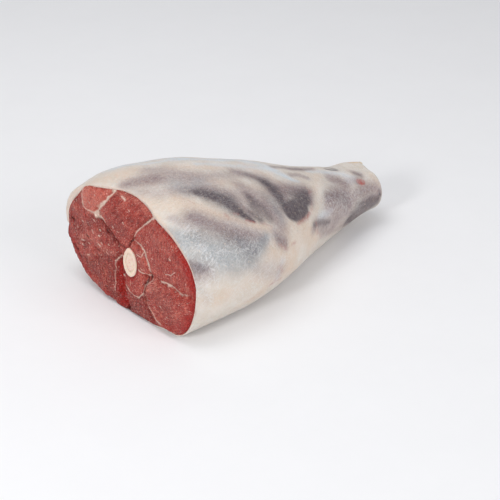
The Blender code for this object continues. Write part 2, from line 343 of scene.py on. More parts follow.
@dataclass(frozen=True)
class LegForm:
    """The leg's outside, its bone and the plane of its cut, in millimetres."""

    stations: tuple[Station, ...] = (
        Station(-166, 4, 93, 94, 51, 49.5, 62, 0.095, 2.6),
        Station(-146, 5, 94, 96, 52, 55, 63, 0.090, 2.5),
        Station(-122, 5, 93, 94, 52, 59, 64, 0.090, 2.4),
        Station(-72, 3, 87, 82, 50, 61, 62, 0.080, 2.3),
        Station(-22, 2, 71, 62, 46, 51, 56, 0.060, 2.2),
        Station(30, 1, 45, 48, 40, 38, 48, 0.040, 2.1),
        Station(80, 1, 27, 37, 33, 29, 33, 0.020, 2.0),
        Station(112, 0, 20, 27, 30, 23, 22, 0.0, 2.0),
        Station(124, 0, 19, 23, 29, 21, 20, 0.0, 2.0),
    )
    far_full: float = 2.0
    far_under_full: float = 1.7
    floor_blend: float = 9.0
    cut_turn: float = math.radians(5.0)
    cut_lean: float = math.radians(10.0)
    cut_follows: float = 120.0
    end_depth: float = 8.0
    end_scale: float = 0.52
    swells: tuple[Swell, ...] = (
        Swell(-142, 54, 22, 30, 2.6),
        Swell(-92, 122, 46, 16, -2.2),
        Swell(-40, 96, 52, 15, -2.4),
        Swell(-62, 158, 36, 26, 2.4),
        Swell(2, 66, 40, 20, 2.6),
        Swell(36, 128, 22, 12, 2.2),
        Swell(52, 152, 16, 30, 2.0),
        Swell(66, 112, 20, 13, -2.2),
        Swell(78, 66, 28, 20, 1.8),
        Swell(98, 140, 20, 26, -1.4),
    )
    cord_angle: float = math.radians(50.0)
    cord_width: float = math.radians(20.0)
    cord_start: float = 80.0
    cord_full: float = 116.0
    cord_height: float = 9.0
    fat_near: float = 2.0
    fat_top: float = 3.0
    fat_far: float = 4.4
    fat_under: float = 1.4
    fat_shank: float = 1.8
    shank_from: float = -40.0
    shank_full: float = 90.0
    edge_back_all: float = 0.7
    edge_back_under: float = 6.0
    edge_waves: int = 7
    edge_wave_share: float = 0.25
    under_angle: float = math.radians(300.0)
    under_width: float = math.radians(48.0)
    bone: tuple[BoneRing, ...] = (
        BoneRing(-166, 0.1, 44.4, 8.8, 12.3, 19),
        BoneRing(-120, 0.5, 42.0, 8.2, 10.8, 12),
        BoneRing(-40, 0.5, 38.0, 9.0, 9.5, 4),
        BoneRing(40, 0.5, 33.5, 8.5, 8.5, 0),
        BoneRing(124, 1.0, 29.0, 8.8, 9.2, 0),
    )
    bone_peak: float = 0.10
    bone_peak_width: float = 0.45
    muscles: tuple[Muscle, ...] = (
        Muscle(63, 84, 15, 10, 1.4),
        Muscle(20, 82, 24, 14, 1.8),
        Muscle(-45, 70, 30, 22, 2.2),
        Muscle(-62, 28, 24, 16, 2.2),
        Muscle(-13, 54, 9, 9, 1.0),
        Muscle(-25, 13, 20, 10, 1.3),
        Muscle(-8, 27, 8, 8, 1.2),
        Muscle(62, 52, 26, 22, 1.4),
    )
    seams: tuple[Seam, ...] = (
        Seam(2.2, 1.8, ((34, 100), (40, 92), (46, 84), (52, 76), (43, 70), (31, 63), (18, 55))),
        Seam(2.2, 1.8, ((-22, 93), (-14, 88), (-6, 81), (-1, 74), (1, 66))),
        Seam(2.0, 1.2, ((0, 66), (-12, 66), (-19, 61), (-25, 53), (-27, 45), (-22, 40))),
        Seam(2.0, 1.2, ((-27, 44), (-42, 44), (-56, 46), (-70, 43), (-84, 46))),
        Seam(2.0, 1.4, ((-22, 40), (-24, 28), (-30, 16), (-40, 6))),
        Seam(4.0, 5.0, ((14, 44), (15, 32), (9, 16), (0, 3))),
    )
    solid_grid: tuple[int, int, int] = (48, 22, 4)
    clear_of_box: float = 0.1

    @property
    def cut_x(self) -> float:
        """The place of the cut along X."""
        return float(self.stations[0].x)

    @property
    def end_x(self) -> float:
        """The place along X where the shank's end starts to round over."""
        return float(self.stations[-1].x)

    def swell(self, x: Array, angle: Array, with_cord: bool) -> Array:
        """How far the outside stands proud of the plain form.

        Args:
            x: Place along the leg.
            angle: Turn from +Y over the top, in radians.
            with_cord: Whether the ridge over the heel tendon is there.

        Returns:
            A height for each place.
        """
        height = np.zeros(np.broadcast(x, angle).shape)
        for s in self.swells:
            turn = apart(angle, math.radians(s.angle)) / math.radians(s.width)
            height += s.height * np.exp(-(((x - s.x) / s.length) ** 2) - turn**2)
        if with_cord:
            grown = smooth_step((x - self.cord_start) / (self.cord_full - self.cord_start))
            turn = apart(angle, self.cord_angle) / self.cord_width
            height += self.cord_height * grown * np.exp(-(turn**2))
        return height

    def outline(self, x: Array, angle: Array, with_cord: bool) -> tuple[Array, Array]:
        """The leg's outline, before the cut's slant.

        Args:
            x: Place along the leg.
            angle: Turn from +Y over the top, in radians.
            with_cord: Whether the ridge over the heel tendon is there.

        Returns:
            y and z of each place.
        """
        table = np.array([astuple(station) for station in self.stations])
        sizes = between(table, x.ravel()).T.reshape(8, *x.shape)
        mid, near, far, waist, top, bottom, tilt, full = sizes
        c, s = np.cos(angle), np.sin(angle)
        full = np.where(c > 0, np.where(s > 0, self.far_full, self.far_under_full), full)
        y = np.where(c > 0, far, near) * power(c, 2 / full)
        z = np.where(s > 0, top, bottom) * power(s, 2 / full)
        reach = 1 + self.swell(x, angle, with_cord) / np.hypot(y, z)
        y, z = y * reach, z * reach
        z = waist + z + tilt * y
        t = np.clip((z + self.floor_blend) / (2 * self.floor_blend), 0, 1)
        return mid + y, np.where(z >= self.floor_blend, z, self.floor_blend * t * t)

    def cut_slant(self, x: Array, y: Array, z: Array) -> Array:
        """How far the slant of the cut moves a point along X."""
        follows = 1 - smooth_step((x - self.cut_x) / self.cut_follows)
        return follows * (z * math.tan(self.cut_lean) / math.cos(self.cut_turn) - y * math.tan(self.cut_turn))

    def skin(
        self, x: Array, angle: Array, rolled: Array, inset: Array | float, with_cord: bool = True
    ) -> Array:
        """Points of the leg's outside, or of a surface that lies inset within it.

        Args:
            x: Place along the leg.
            angle: Turn from +Y over the top, in radians.
            rolled: 0 along the leg, growing to a quarter turn over the shank's end.
            inset: Depth under the outside.
            with_cord: Whether the ridge over the heel tendon is there.

        Returns:
            An array of points, in millimetres.
        """
        step = math.radians(0.5)
        y, z = self.outline(x, angle, with_cord)
        y_next, z_next = self.outline(x, angle + step, with_cord)
        y_last, z_last = self.outline(x, angle - step, with_cord)
        length = np.hypot(y_next - y_last, z_next - z_last)
        out_y, out_z = (z_next - z_last) / length, (y_last - y_next) / length
        mid, waist = self.stations[-1].mid, self.stations[-1].waist
        scale = self.end_scale + (1 - self.end_scale) * np.cos(rolled)
        y = np.where(rolled > 0, mid + (y - mid) * scale, y) - inset * out_y * np.cos(rolled)
        z = np.where(rolled > 0, waist + (z - waist) * scale, z) - inset * out_z * np.cos(rolled)
        along = x + self.cut_slant(x, y, z) + (self.end_depth - inset) * np.sin(rolled)
        return np.stack([along, y, z], axis=-1)

    def kept_in(self, points: Array) -> Array:
        """Points of the skin, moved where they would pass the solids' box at the cut."""
        least = CAD_BOX[0].x / MM - float(self.shift()[0]) + self.clear_of_box
        return np.concatenate([np.maximum(points[..., :1], least), points[..., 1:]], axis=-1)

    def fat_thickness(self, x: Array, angle: Array) -> Array:
        """How thick the fat is: more on top and on the far side, little underneath and down the shank.

        Args:
            x: Place along the leg.
            angle: Turn from +Y over the top, in radians.

        Returns:
            A thickness for each place.
        """
        c, s = np.cos(angle), np.sin(angle)
        side = np.where(c > 0, self.fat_far, self.fat_near) * c * c
        height = np.where(s > 0, self.fat_top, self.fat_under) * s * s
        shank = smooth_step((x - self.shank_from) / (self.shank_full - self.shank_from))
        return (side + height) * (1 - shank) + self.fat_shank * shank

    def edge_back(self, angle: Array) -> Array:
        """How far the fat's edge stands behind the cut.

        Args:
            angle: Turn from +Y over the top, in radians.

        Returns:
            A distance for each turn.
        """
        under = np.exp(-((apart(angle, self.under_angle) / self.under_width) ** 2))
        wave = 1 - self.edge_wave_share + self.edge_wave_share * np.sin(self.edge_waves * angle)
        return self.edge_back_all + self.edge_back_under * under * wave

    def rows_along(
        self, columns: int, body_rows: int, end_rows: int, extra: Array | float = 0.0, crowd: float = 1.12
    ) -> tuple[Array, Array, Array]:
        """A grid of places, row by row from the fat's edge to the shank's end.

        Args:
            columns: Places round the leg.
            body_rows: Rows along the leg.
            end_rows: Rows over the shank's rounded end.
            extra: How much further the first row stands behind the cut, for each column.
            crowd: 1 for even rows, and more to crowd them towards the cut.

        Returns:
            x, angle and roll of each place.
        """
        angle = turns(columns)
        share = np.linspace(0, 1, body_rows) ** crowd
        back = (self.edge_back(angle) + extra)[None, :]
        body = self.cut_x + back + share[:, None] * (self.end_x - self.cut_x - back)
        roll = np.linspace(0, math.pi / 2, end_rows + 1)[1:]
        x = np.vstack([body, np.full((end_rows, columns), self.end_x)])
        rolled = np.vstack([np.zeros_like(body), np.repeat(roll[:, None], columns, axis=1)])
        return x, np.broadcast_to(angle, x.shape), rolled

    def bone_ring(self, x: float, angle: Array, grow: float) -> Array:
        """A ring round the bone, with a low peak on its upper side, moved by the cut's slant.

        Args:
            x: Place along the leg.
            angle: Turns of the ring's points, in radians.
            grow: How far the ring stands outside the bone.

        Returns:
            The ring's points.
        """
        table = np.array([astuple(ring) for ring in self.bone])
        y, z, wide, high, lean = between(table, np.array([float(x)]))[0]
        lean = math.radians(lean)
        peak = 1 + self.bone_peak * np.exp(-((apart(angle, math.pi / 2) / self.bone_peak_width) ** 2))
        across = (wide + grow) * np.cos(angle)
        up = (high + grow) * peak * np.sin(angle)
        y = y + across * math.cos(lean) + up * math.sin(lean)
        return self.slanted(x, y, z + up * math.cos(lean) - across * math.sin(lean))

    def slanted(self, x: float, y: Array, z: Array) -> Array:
        """Points of a ring at x, moved by the cut's slant."""
        return np.stack([x + self.cut_slant(np.full_like(y, x), y, z), y, z], axis=-1)

    def cut_relief(self, y: Array, z: Array) -> Array:
        """How far the meat stands out of the plane of the cut.

        Args:
            y: Places across the cut.
            z: Their heights.

        Returns:
            A height for each place.
        """
        height = np.zeros(np.shape(y))
        spots = np.stack([y, z], axis=-1)
        for m in self.muscles:
            height += m.height * np.exp(-(((y - m.y) / m.wide) ** 2) - ((z - m.z) / m.high) ** 2)
        for seam in self.seams:
            away = distance_to_line(spots, np.array(seam.points, float))
            height -= seam.deep * np.exp(-((away / seam.wide) ** 2))
        return height

    def place(self, points: Array) -> Array:
        """Points of the leg's own axes in the frame's, in metres."""
        return (points + self.shift()) * MM

    def shift(self) -> Array:
        """Finds from the frame's solids how far its origin is from the leg's.

        Returns:
            The move along X, Y and Z.
        """
        high_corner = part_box("fat_cover")[1]
        widest = self.skin(*self.rows_along(*self.solid_grid), 0.0)[..., 1].max()
        return np.array([high_corner.x / MM - self.end_x - self.end_depth, high_corner.y / MM - widest, 0.0])


@dataclass(frozen=True)
class RimShape:
    """What the edge of the cut does beyond the plain form, as (turn in degrees, millimetres) pairs.

    The edge rolls back over the top, the whole outside draws in a little in places, and the fat is
    thicker at the upper far side. At the lower far side the meat is torn and bare of fat.
    """

    form: LegForm
    roll_back: Pairs = (
        (0, 0.0), (54, 0.0), (60, 1.0), (66, 2.0), (72, 4.0), (77, 5.6), (85, 6.5), (89, 6.4), (93, 5.2),
        (97, 3.4), (101, 1.2), (107, 0.0), (360, 0.0),
    )
    draw_in: Pairs = (
        (0, -1.6), (24, -1.6), (40, -0.8), (56, 0.0), (110, 0.0), (120, 1.0), (128, 2.2), (136, 2.7),
        (144, 2.5), (160, 2.5), (168, 2.0), (176, 1.4), (184, 0.3), (206, 0.8), (222, 1.4), (234, 2.8),
        (240, 2.0), (248, 0.3), (272, 0.2), (280, 1.4), (290, 2.2), (300, 3.6), (308, 0.4), (320, 0.0),
        (340, -0.6), (360, -1.6),
    )
    thicker_fat: Pairs = (
        (0, 3.0), (10, 3.5), (20, 4.0), (30, 3.4), (36, 1.2), (42, -1.8), (48, -2.2), (54, -1.2), (62, 0.0),
        (96, 0.2), (112, 0.8), (146, 0.8), (160, 0.2), (170, -0.7), (200, -0.9), (216, 0.0), (336, 0.0),
        (350, 2.2), (360, 3.0),
    )
    torn_from: float = 256.0
    torn_to: float = 346.0
    fade_in: float = 16.0
    fade_out: float = 8.0
    tear: float = 2.2
    tear_even: float = 0.45
    tear_girth: float = 90.0
    jag: Roughness = Roughness(32, 7.0)
    bare_depth: float = 0.2
    flare: float = 8.0
    draw_reach: float = 12.8
    least_fat: float = 0.8

    def read(self, table: Pairs, angle: Array) -> Array:
        """A pair table's value at each angle."""
        turn, value = np.array(table, float).T
        return np.interp(np.degrees(angle) % 360, turn, value)

    def back(self, angle: Array) -> Array:
        """How far the edge rolls back along X."""
        return self.read(self.roll_back, angle)

    def drawn_in(self, x: Array, angle: Array) -> Array:
        """How far the outside draws in near the cut."""
        return self.read(self.draw_in, angle) * np.exp(-np.maximum(x - self.form.cut_x, 0) / self.draw_reach)

    def torn(self, angle: Array) -> Array:
        """Where the meat's edge is torn and bare.

        Args:
            angle: Turn from +Y over the top, in radians.

        Returns:
            1 there and 0 elsewhere, for each turn.
        """
        turn = np.degrees(angle) % 360
        begun = smooth_step((turn - self.torn_from) / self.fade_in)
        return begun * smooth_step((self.torn_to - turn) / self.fade_out)

    def near_cut(self, x: Array, angle: Array) -> Array:
        """1 at the edge of the cut, falling to 0 behind it."""
        return 1 - smooth_step((x - self.form.cut_x - self.back(angle)) / self.flare)

    def fat_depth(self, x: Array, angle: Array) -> Array:
        """How deep the fat reaches: as its solid's, but thicker or thinner near the cut."""
        thicker = self.read(self.thicker_fat, angle) * self.near_cut(x, angle)
        return np.maximum(self.form.fat_thickness(x, angle) + thicker, self.least_fat)

    def meat_depth(self, x: Array, angle: Array, gap: float) -> Array:
        """How deep the meat's outside lies, which is close under the leg's where the meat is bare.

        Args:
            x: Place along the leg.
            angle: Turn from +Y over the top, in radians.
            gap: How far the meat stays under the fat.

        Returns:
            A depth for each place.
        """
        depth = self.fat_depth(x, angle) + gap
        circle = np.stack([np.cos(angle), np.sin(angle), x / self.tear_girth], axis=-1)
        rough = self.tear * (self.tear_even + self.jag.at(circle * self.tear_girth)).clip(0)
        depth += (self.bare_depth + rough - depth) * self.torn(angle) * self.near_cut(x, angle)
        return depth + self.drawn_in(x, angle)


FORM = LegForm()
RIM = RimShape(FORM)


# Meshes


def ring_faces(one: int, one_count: int, two: int, two_count: int) -> list[list[int]]:
    """Faces between two rings of points, either of which may be a single point.

    Args:
        one: Number of the first ring's first point.
        one_count: How many points it has.
        two: Number of the second ring's first point.
        two_count: How many points it has.

    Returns:
        The corners of each face.
    """
    count = max(one_count, two_count)
    here, after = np.arange(count), (np.arange(count) + 1) % count
    if one_count == 1:
        corners = [np.full(count, one), two + after, two + here]
    elif two_count == 1:
        corners = [one + here, one + after, np.full(count, two)]
    else:
        corners = [one + here, one + after, two + after, two + here]
    return np.stack(corners, axis=-1).tolist()


def signed_volume(mesh: bpy.types.Mesh) -> float:
    """Measures a mesh.

    Args:
        mesh: A closed mesh.

    Returns:
        Its volume, below zero if its faces point inwards.
    """
    mesh.calc_loop_triangles()
    points = np.empty(len(mesh.vertices) * 3)
    mesh.vertices.foreach_get("co", points)
    corners = np.empty(len(mesh.loop_triangles) * 3, np.int32)
    mesh.loop_triangles.foreach_get("vertices", corners)
    a, b, c = points.reshape(-1, 3)[corners.reshape(-1, 3)].transpose(1, 0, 2)
    return float(np.einsum("ij,ij->i", a, np.cross(b, c)).sum() / 6)


def ring_object(name: str, rings: list[Array], masks: dict[str, Array], material: Material) -> Object:
    """A closed solid from rings of points, each joined to the next.

    Args:
        name: The piece's name.
        rings: Rings in millimetres in the leg's axes. A first or last ring of one point closes that end;
            otherwise the last ring joins the first.
        masks: Values for each point, in the rings' order, which the material reads by these names.
        material: The finish.

    Returns:
        The new object, linked to the scene.
    """
    sizes = [len(ring) for ring in rings]
    starts = np.concatenate([[0], np.cumsum(sizes)])
    pairs = list(itertools.pairwise(range(len(rings))))
    if sizes[0] > 1 and sizes[-1] > 1:
        pairs.append((len(rings) - 1, 0))
    faces: list[list[int]] = []
    for one, two in pairs:
        faces.extend(ring_faces(starts[one], sizes[one], starts[two], sizes[two]))
    mesh = bpy.data.meshes.new(name)
    mesh.from_pydata(FORM.place(np.concatenate(rings)).tolist(), [], faces)
    for mask, values in masks.items():
        mesh.attributes.new(mask, "FLOAT", "POINT").data.foreach_set("value", values.astype(np.float32))
    mesh.shade_smooth()
    if signed_volume(mesh) < 0:
        mesh.flip_normals()
    mesh.materials.append(material)
    made = bpy.data.objects.new(name, mesh)
    bpy.context.scene.collection.objects.link(made)
    return made


def dress(piece: Object, node: str) -> Object:
    """Lets a piece ride on the leg's body in place of a solid.

    Args:
        piece: The piece.
        node: The solid that it replaces.

    Returns:
        The piece.
    """
    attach(piece, BODY)
    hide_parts(node)
    LOG.info("%s: %d points, %d faces", piece.name, len(piece.data.vertices), len(piece.data.polygons))
    return piece


# Shader graphs


class Graph:
    """A node tree, with short ways to add and join its nodes."""

    def __init__(self, tree: bpy.types.NodeTree) -> None:
        """Wraps a tree.

        Args:
            tree: A material's node tree or a node group.
        """
        self.tree = tree

    def node(self, kind: str, **settings: object) -> bpy.types.Node:
        """Adds a node.

        Args:
            kind: The name of the node's type.
            **settings: Its settings by name.

        Returns:
            The node.
        """
        made = self.tree.nodes.new(kind)
        for name, value in settings.items():
            setattr(made, name, value)
        return made

    def feed(self, socket: Socket, value: object) -> None:
        """Joins a socket to another, or sets its value.

        Args:
            socket: An input.
            value: An output of another node, or a plain value.
        """
        if isinstance(value, bpy.types.NodeSocket):
            self.tree.links.new(value, socket)
        else:
            socket.default_value = value

    def fed(self, kind: str, inputs: dict[str | int, object], **settings: object) -> bpy.types.Node:
        """Adds a node and feeds its inputs.

        Args:
            kind: The name of the node's type.
            inputs: A socket or a value for each input, by its name or number.
            **settings: The node's settings by name.

        Returns:
            The node.
        """
        made = self.node(kind, **settings)
        for key, value in inputs.items():
            self.feed(made.inputs[key], value)
        return made

    def maths(self, operation: str, *values: object, clamp: bool = False) -> Socket:
        """A function of numbers, such as SUBTRACT or DIVIDE."""
        made = self.fed("ShaderNodeMath", dict(enumerate(values)), operation=operation, use_clamp=clamp)
        return made.outputs[0]

    def times(self, first: object, *others: object, clamp: bool = False) -> Socket:
        """The product of values.

        Args:
            first: The first value.
            *others: The values that it is multiplied by, one after the other.
            clamp: Whether each product is kept within 0 and 1.

        Returns:
            The product's socket.
        """
        for other in others:
            first = self.maths("MULTIPLY", first, other, clamp=clamp)
        return first

    def plus(self, one: object, two: object, clamp: bool = False) -> Socket:
        """The sum of two values."""
        return self.maths("ADD", one, two, clamp=clamp)

    def minus(self, one: object, two: object, clamp: bool = False) -> Socket:
        """The first value less the second."""
        return self.maths("SUBTRACT", one, two, clamp=clamp)

    def vector(self, operation: str, *values: object) -> Socket:
        """A function of vectors, such as ADD or MULTIPLY."""
        return self.fed("ShaderNodeVectorMath", dict(enumerate(values)), operation=operation).outputs[0]

    def blend(self, share: object, first: object, second: object) -> Socket:
        """The first colour with a share of the second over it."""
        return self.fed("ShaderNodeMix", {0: share, 6: first, 7: second}, data_type="RGBA").outputs[2]

    def rise(
        self, value: object, low: float, high: float, out_low: float = 0.0, out_high: float = 1.0
    ) -> Socket:
        """A value mapped smoothly from one range to another, kept inside it."""
        ranges = dict(enumerate((value, low, high, out_low, out_high)))
        return self.fed("ShaderNodeMapRange", ranges, interpolation_type="SMOOTHSTEP").outputs[0]

    def noise(self, vector: object, scale: object, detail: float = 2.0, twist: float = 0.0) -> Socket:
        """Noise of 0 to 1 at a vector, with a scale in cells a metre."""
        inputs = {"Vector": vector, "Scale": scale, "Detail": detail, "Distortion": twist}
        return self.fed("ShaderNodeTexNoise", inputs).outputs["Fac"]

    def attribute(self, name: str) -> Socket:
        """A mask of the mesh."""
        return self.node("ShaderNodeAttribute", attribute_name=name).outputs["Fac"]


class GroupGraph(Graph):
    """The graph of a new node group with named sockets."""

    def __init__(self, name: str, inputs: dict[str, float | None], outputs: tuple[str, ...]) -> None:
        """Makes the group.

        Args:
            name: The group's name.
            inputs: Each input's name and default: a number, or None for a vector.
            outputs: Names of the outputs, each a number.
        """
        super().__init__(bpy.data.node_groups.new(name, "ShaderNodeTree"))
        for label, default in inputs.items():
            kind = "NodeSocketVector" if default is None else "NodeSocketFloat"
            socket = self.tree.interface.new_socket(label, in_out="INPUT", socket_type=kind)
            if default is not None:
                socket.default_value = default
        for label in outputs:
            self.tree.interface.new_socket(label, in_out="OUTPUT", socket_type="NodeSocketFloat")
        self.given = self.node("NodeGroupInput").outputs
        self.leave = self.node("NodeGroupOutput").inputs

    def scale(self, size: str) -> Socket:
        """Cells a metre, from the input that gives their size."""
        return self.maths("DIVIDE", 1.0, self.given[size])

    def done(self, **outputs: Socket) -> bpy.types.NodeTree:
        """Feeds the group's outputs.

        Args:
            **outputs: A socket for each output by name.

        Returns:
            The group.
        """
        for name, value in outputs.items():
            self.feed(self.leave[name], value)
        return self.tree


class Effects:
    """The shader effects that several finishes use, each built once as a node group."""

    def __init__(self) -> None:
        """Builds the groups."""
        self.fibres = self.make_fibres()
        self.mottle = self.make_mottle()
        self.wet_gloss = self.make_wet_gloss()
        self.flecks = self.make_flecks()

    def make_fibres(self) -> bpy.types.NodeTree:
        """Long thin streaks along X, turned by two angles: a mask of the streaks and a height for bumps.

        Returns:
            The group.
        """
        sizes = {"Thickness": 0.001, "Stretch": 6.0, "Turn": 0.0, "Slope": 0.0}
        graph = GroupGraph("flesh fibres", {"Vector": None, **sizes}, ("Mask", "Height"))
        flow = graph.given["Vector"]
        for axis, angle in (("X_AXIS", "Turn"), ("Y_AXIS", "Slope")):
            inputs = {"Vector": flow, "Angle": graph.given[angle]}
            flow = graph.fed("ShaderNodeVectorRotate", inputs, rotation_type=axis).outputs[0]
        squeeze = graph.fed("ShaderNodeCombineXYZ", {0: graph.scale("Stretch"), 1: 1.0, 2: 1.0})
        flow = graph.vector("MULTIPLY", flow, squeeze.outputs[0])
        noise = graph.noise(flow, graph.scale("Thickness"), detail=3.0, twist=0.9)
        return graph.done(Mask=graph.rise(noise, 0.50, 0.72), Height=noise)

    def make_mottle(self) -> bpy.types.NodeTree:
        """Soft blotches of two sizes, 0 to 1.

        Returns:
            The group.
        """
        graph = GroupGraph("soft mottle", {"Vector": None, "Size": 0.01, "Contrast": 1.0}, ("Value",))
        scale = graph.scale("Size")
        large = graph.noise(graph.given["Vector"], scale, detail=1.0)
        small = graph.noise(graph.given["Vector"], graph.times(scale, 3.7), detail=3.0)
        both = graph.plus(graph.times(large, 0.6), graph.times(small, 0.4))
        spread = graph.times(graph.minus(both, 0.5), graph.given["Contrast"])
        return graph.done(Value=graph.plus(spread, 0.5, clamp=True))

    def make_wet_gloss(self) -> bpy.types.NodeTree:
        """Roughness that changes between wet and dry spots.

        Returns:
            The group.
        """
        sizes = {"Size": 0.004, "Wet": 0.25, "Dry": 0.5}
        graph = GroupGraph("wet gloss", {"Vector": None, **sizes}, ("Roughness",))
        noise = graph.noise(graph.given["Vector"], graph.scale("Size"), detail=3.0)
        span = graph.minus(graph.given["Dry"], graph.given["Wet"])
        drier = graph.times(span, graph.rise(noise, 0.38, 0.62))
        return graph.done(Roughness=graph.plus(graph.given["Wet"], drier, clamp=True))

    def make_flecks(self) -> bpy.types.NodeTree:
        """Scattered small flecks: a mask of 0 to 1.

        Returns:
            The group.
        """
        graph = GroupGraph("small flecks", {"Vector": None, "Size": 0.001, "Amount": 0.3}, ("Mask",))
        fine = graph.noise(graph.given["Vector"], graph.scale("Size"), detail=2.0, twist=0.4)
        low = graph.minus(0.78, graph.times(graph.given["Amount"], 0.5))
        return graph.done(Mask=graph.times(graph.minus(fine, low), 9.0, clamp=True))


class FinishGraph(Graph):
    """The graph of a new material, with the shared effects at the object's own coordinates in metres."""

    def __init__(self, name: str, effects: Effects) -> None:
        """Makes the material.

        Args:
            name: The material's name.
            effects: The shared node groups.
        """
        self.material = bpy.data.materials.new(name)
        self.material.use_nodes = True
        super().__init__(self.material.node_tree)
        self.effects = effects
        self.shader = self.tree.nodes["Principled BSDF"].inputs
        self.place = self.node("ShaderNodeTexCoord").outputs["Object"]

    def effect(self, group: bpy.types.NodeTree, inputs: dict[str, object]) -> bpy.types.Node:
        """Places a group at the object's coordinates, or at another Vector that the inputs give."""
        return self.fed("ShaderNodeGroup", {"Vector": self.place, **inputs}, node_tree=group)

    def mottle(self, size: float, contrast: float) -> Socket:
        """Soft blotches of 0 to 1."""
        return self.effect(self.effects.mottle, {"Size": size, "Contrast": contrast}).outputs["Value"]

    def flecks(self, size: float, amount: float, **inputs: Socket) -> Socket:
        """A mask of small flecks."""
        return self.effect(self.effects.flecks, {"Size": size, "Amount": amount, **inputs}).outputs["Mask"]

    def fibres(self, thickness: float, stretch: float, **inputs: object) -> tuple[Socket, Socket]:
        """The mask and the height of long thin streaks."""
        made = self.effect(self.effects.fibres, {"Thickness": thickness, "Stretch": stretch, **inputs})
        return made.outputs["Mask"], made.outputs["Height"]


@dataclass(frozen=True)
class FleshFinish:
    """What the leg's finishes share: spots of wet and dry, a fine relief and light that soaks in."""

    name: str = "flesh"
    gloss_size: float = 0.002
    wet: float = 0.35
    dry: float = 0.55
    bump_depth: float = 0.0005
    bump_strength: float = 0.5
    specular: float = 0.5
    soak: float = 0.15
    soak_reach: float = 0.002
    soak_colour: Triple = (1.0, 0.2, 0.1)
    coat: float = 0.0
    coat_rough: float = 0.03

    def build(self, effects: Effects) -> Material:
        """Makes the material.

        Args:
            effects: The shared node groups.

        Returns:
            The material.
        """
        graph = FinishGraph(self.name, effects)
        colour, height = self.surface(graph)
        gloss = {"Size": self.gloss_size, "Wet": self.wet, "Dry": self.dry}
        relief = {"Strength": self.bump_strength, "Distance": self.bump_depth, "Height": height}
        sockets = {
            "Base Color": colour,
            "Roughness": graph.effect(effects.wet_gloss, gloss).outputs["Roughness"],
            "Normal": graph.fed("ShaderNodeBump", relief).outputs["Normal"],
            "Specular IOR Level": self.specular,
            "Subsurface Weight": self.soak,
            "Subsurface Radius": self.soak_colour,
            "Subsurface Scale": self.soak_reach,
            "Coat Weight": self.coat,
            "Coat Roughness": self.coat_rough,
        }
        for name, value in sockets.items():
            graph.feed(graph.shader[name], value)
        return graph.material

    def surface(self, graph: FinishGraph) -> tuple[Socket, Socket]:
        """The colour and the height of the surface, which each finish makes in its own way.

        Args:
            graph: The material's graph.

        Returns:
            The colour's socket and the height's.
        """
        raise NotImplementedError


@dataclass(frozen=True)
class FellFinish(FleshFinish):
    """Cream fat under a thin moist film, with grey and purple muscle showing through in patches, and a bluish
    sheen of the light painted along the top.
    """

    name: str = "fell and fat"
    gloss_size: float = 0.006
    wet: float = 0.34
    dry: float = 0.52
    bump_depth: float = 0.0016
    bump_strength: float = 0.75
    soak_reach: float = 0.003
    soak_colour: Triple = (1.0, 0.6, 0.45)
    coat: float = 0.15
    coat_rough: float = 0.3
    cream: Colour = linear(221, 209, 196)
    pale: Colour = linear(231, 222, 212)
    warm: Colour = linear(223, 198, 175)
    # The colour of the painted bluish sheen of the light.
    cool_sheen: Colour = linear(216, 225, 234)
    lilac: Colour = linear(143, 120, 121)
    sheen: Colour = linear(156, 161, 165)
    dark: Colour = linear(73, 59, 66)
    blood: Colour = linear(172, 78, 68)
    fibre: Colour = linear(238, 237, 238)
    fans: Pairs = ((9.0, 0.5), (8.0, -0.7), (7.0, 1.4))

    def surface(self, graph: FinishGraph) -> tuple[Socket, Socket]:
        """Fat and film with three fans of white fibres, which dark muscle hides.

        Args:
            graph: The material's graph.

        Returns:
            The colour's socket and the height's.
        """
        fine = graph.mottle(size=0.0026, contrast=1.9)
        colour = self.flesh(graph, fine)
        fans = [graph.fibres(0.0011, stretch, Turn=0.3, Slope=slope) for stretch, slope in self.fans]
        masks, heights = zip(*fans)
        both = graph.maths("MAXIMUM", graph.maths("MAXIMUM", masks[0], masks[1]), masks[2])
        colour = graph.blend(graph.times(both, graph.attribute(Paint.FIBRE.value), 0.6), colour, self.fibre)
        bare = graph.minus(1.0, graph.times(graph.attribute(Paint.DARK.value), 0.8), clamp=True)
        colour = graph.blend(graph.times(both, bare, 0.24), colour, self.fibre)
        colour = graph.blend(graph.times(graph.flecks(size=0.0018, amount=0.32), 0.42), colour, self.warm)
        height = graph.times(graph.plus(heights[0], heights[1]), 0.35)
        return colour, graph.plus(height, graph.times(fine, 0.6))

    def flesh(self, graph: FinishGraph, fine: Socket) -> Socket:
        """The fat with the muscle, film and blood that show in it.

        Args:
            graph: The material's graph.
            fine: Small blotches that make each layer uneven.

        Returns:
            The colour's socket.
        """
        blotch = graph.rise(graph.mottle(size=0.016, contrast=1.8), 0.35, 0.75)
        colour = graph.blend(blotch, self.cream, self.pale)
        layers = (
            (Paint.WARM, self.warm, 1.0, 0.6),
            (Paint.PALE, self.pale, 0.9, 0.7),
            (Paint.COOL, self.cool_sheen, 1.0, 0.85),
            (Paint.LILAC, self.lilac, 1.1, 0.78),
            (Paint.SHEEN, self.sheen, 1.0, 0.78),
            (Paint.DARK, self.dark, 1.2, 0.88),
            (Paint.BLOOD, self.blood, 1.0, 0.35),
        )
        for paint, shade, most, least in layers:
            full = graph.times(graph.attribute(paint.value), most, clamp=True)
            colour = graph.blend(graph.times(full, graph.rise(fine, 0.2, 0.75, least, 1.0)), colour, shade)
        return colour


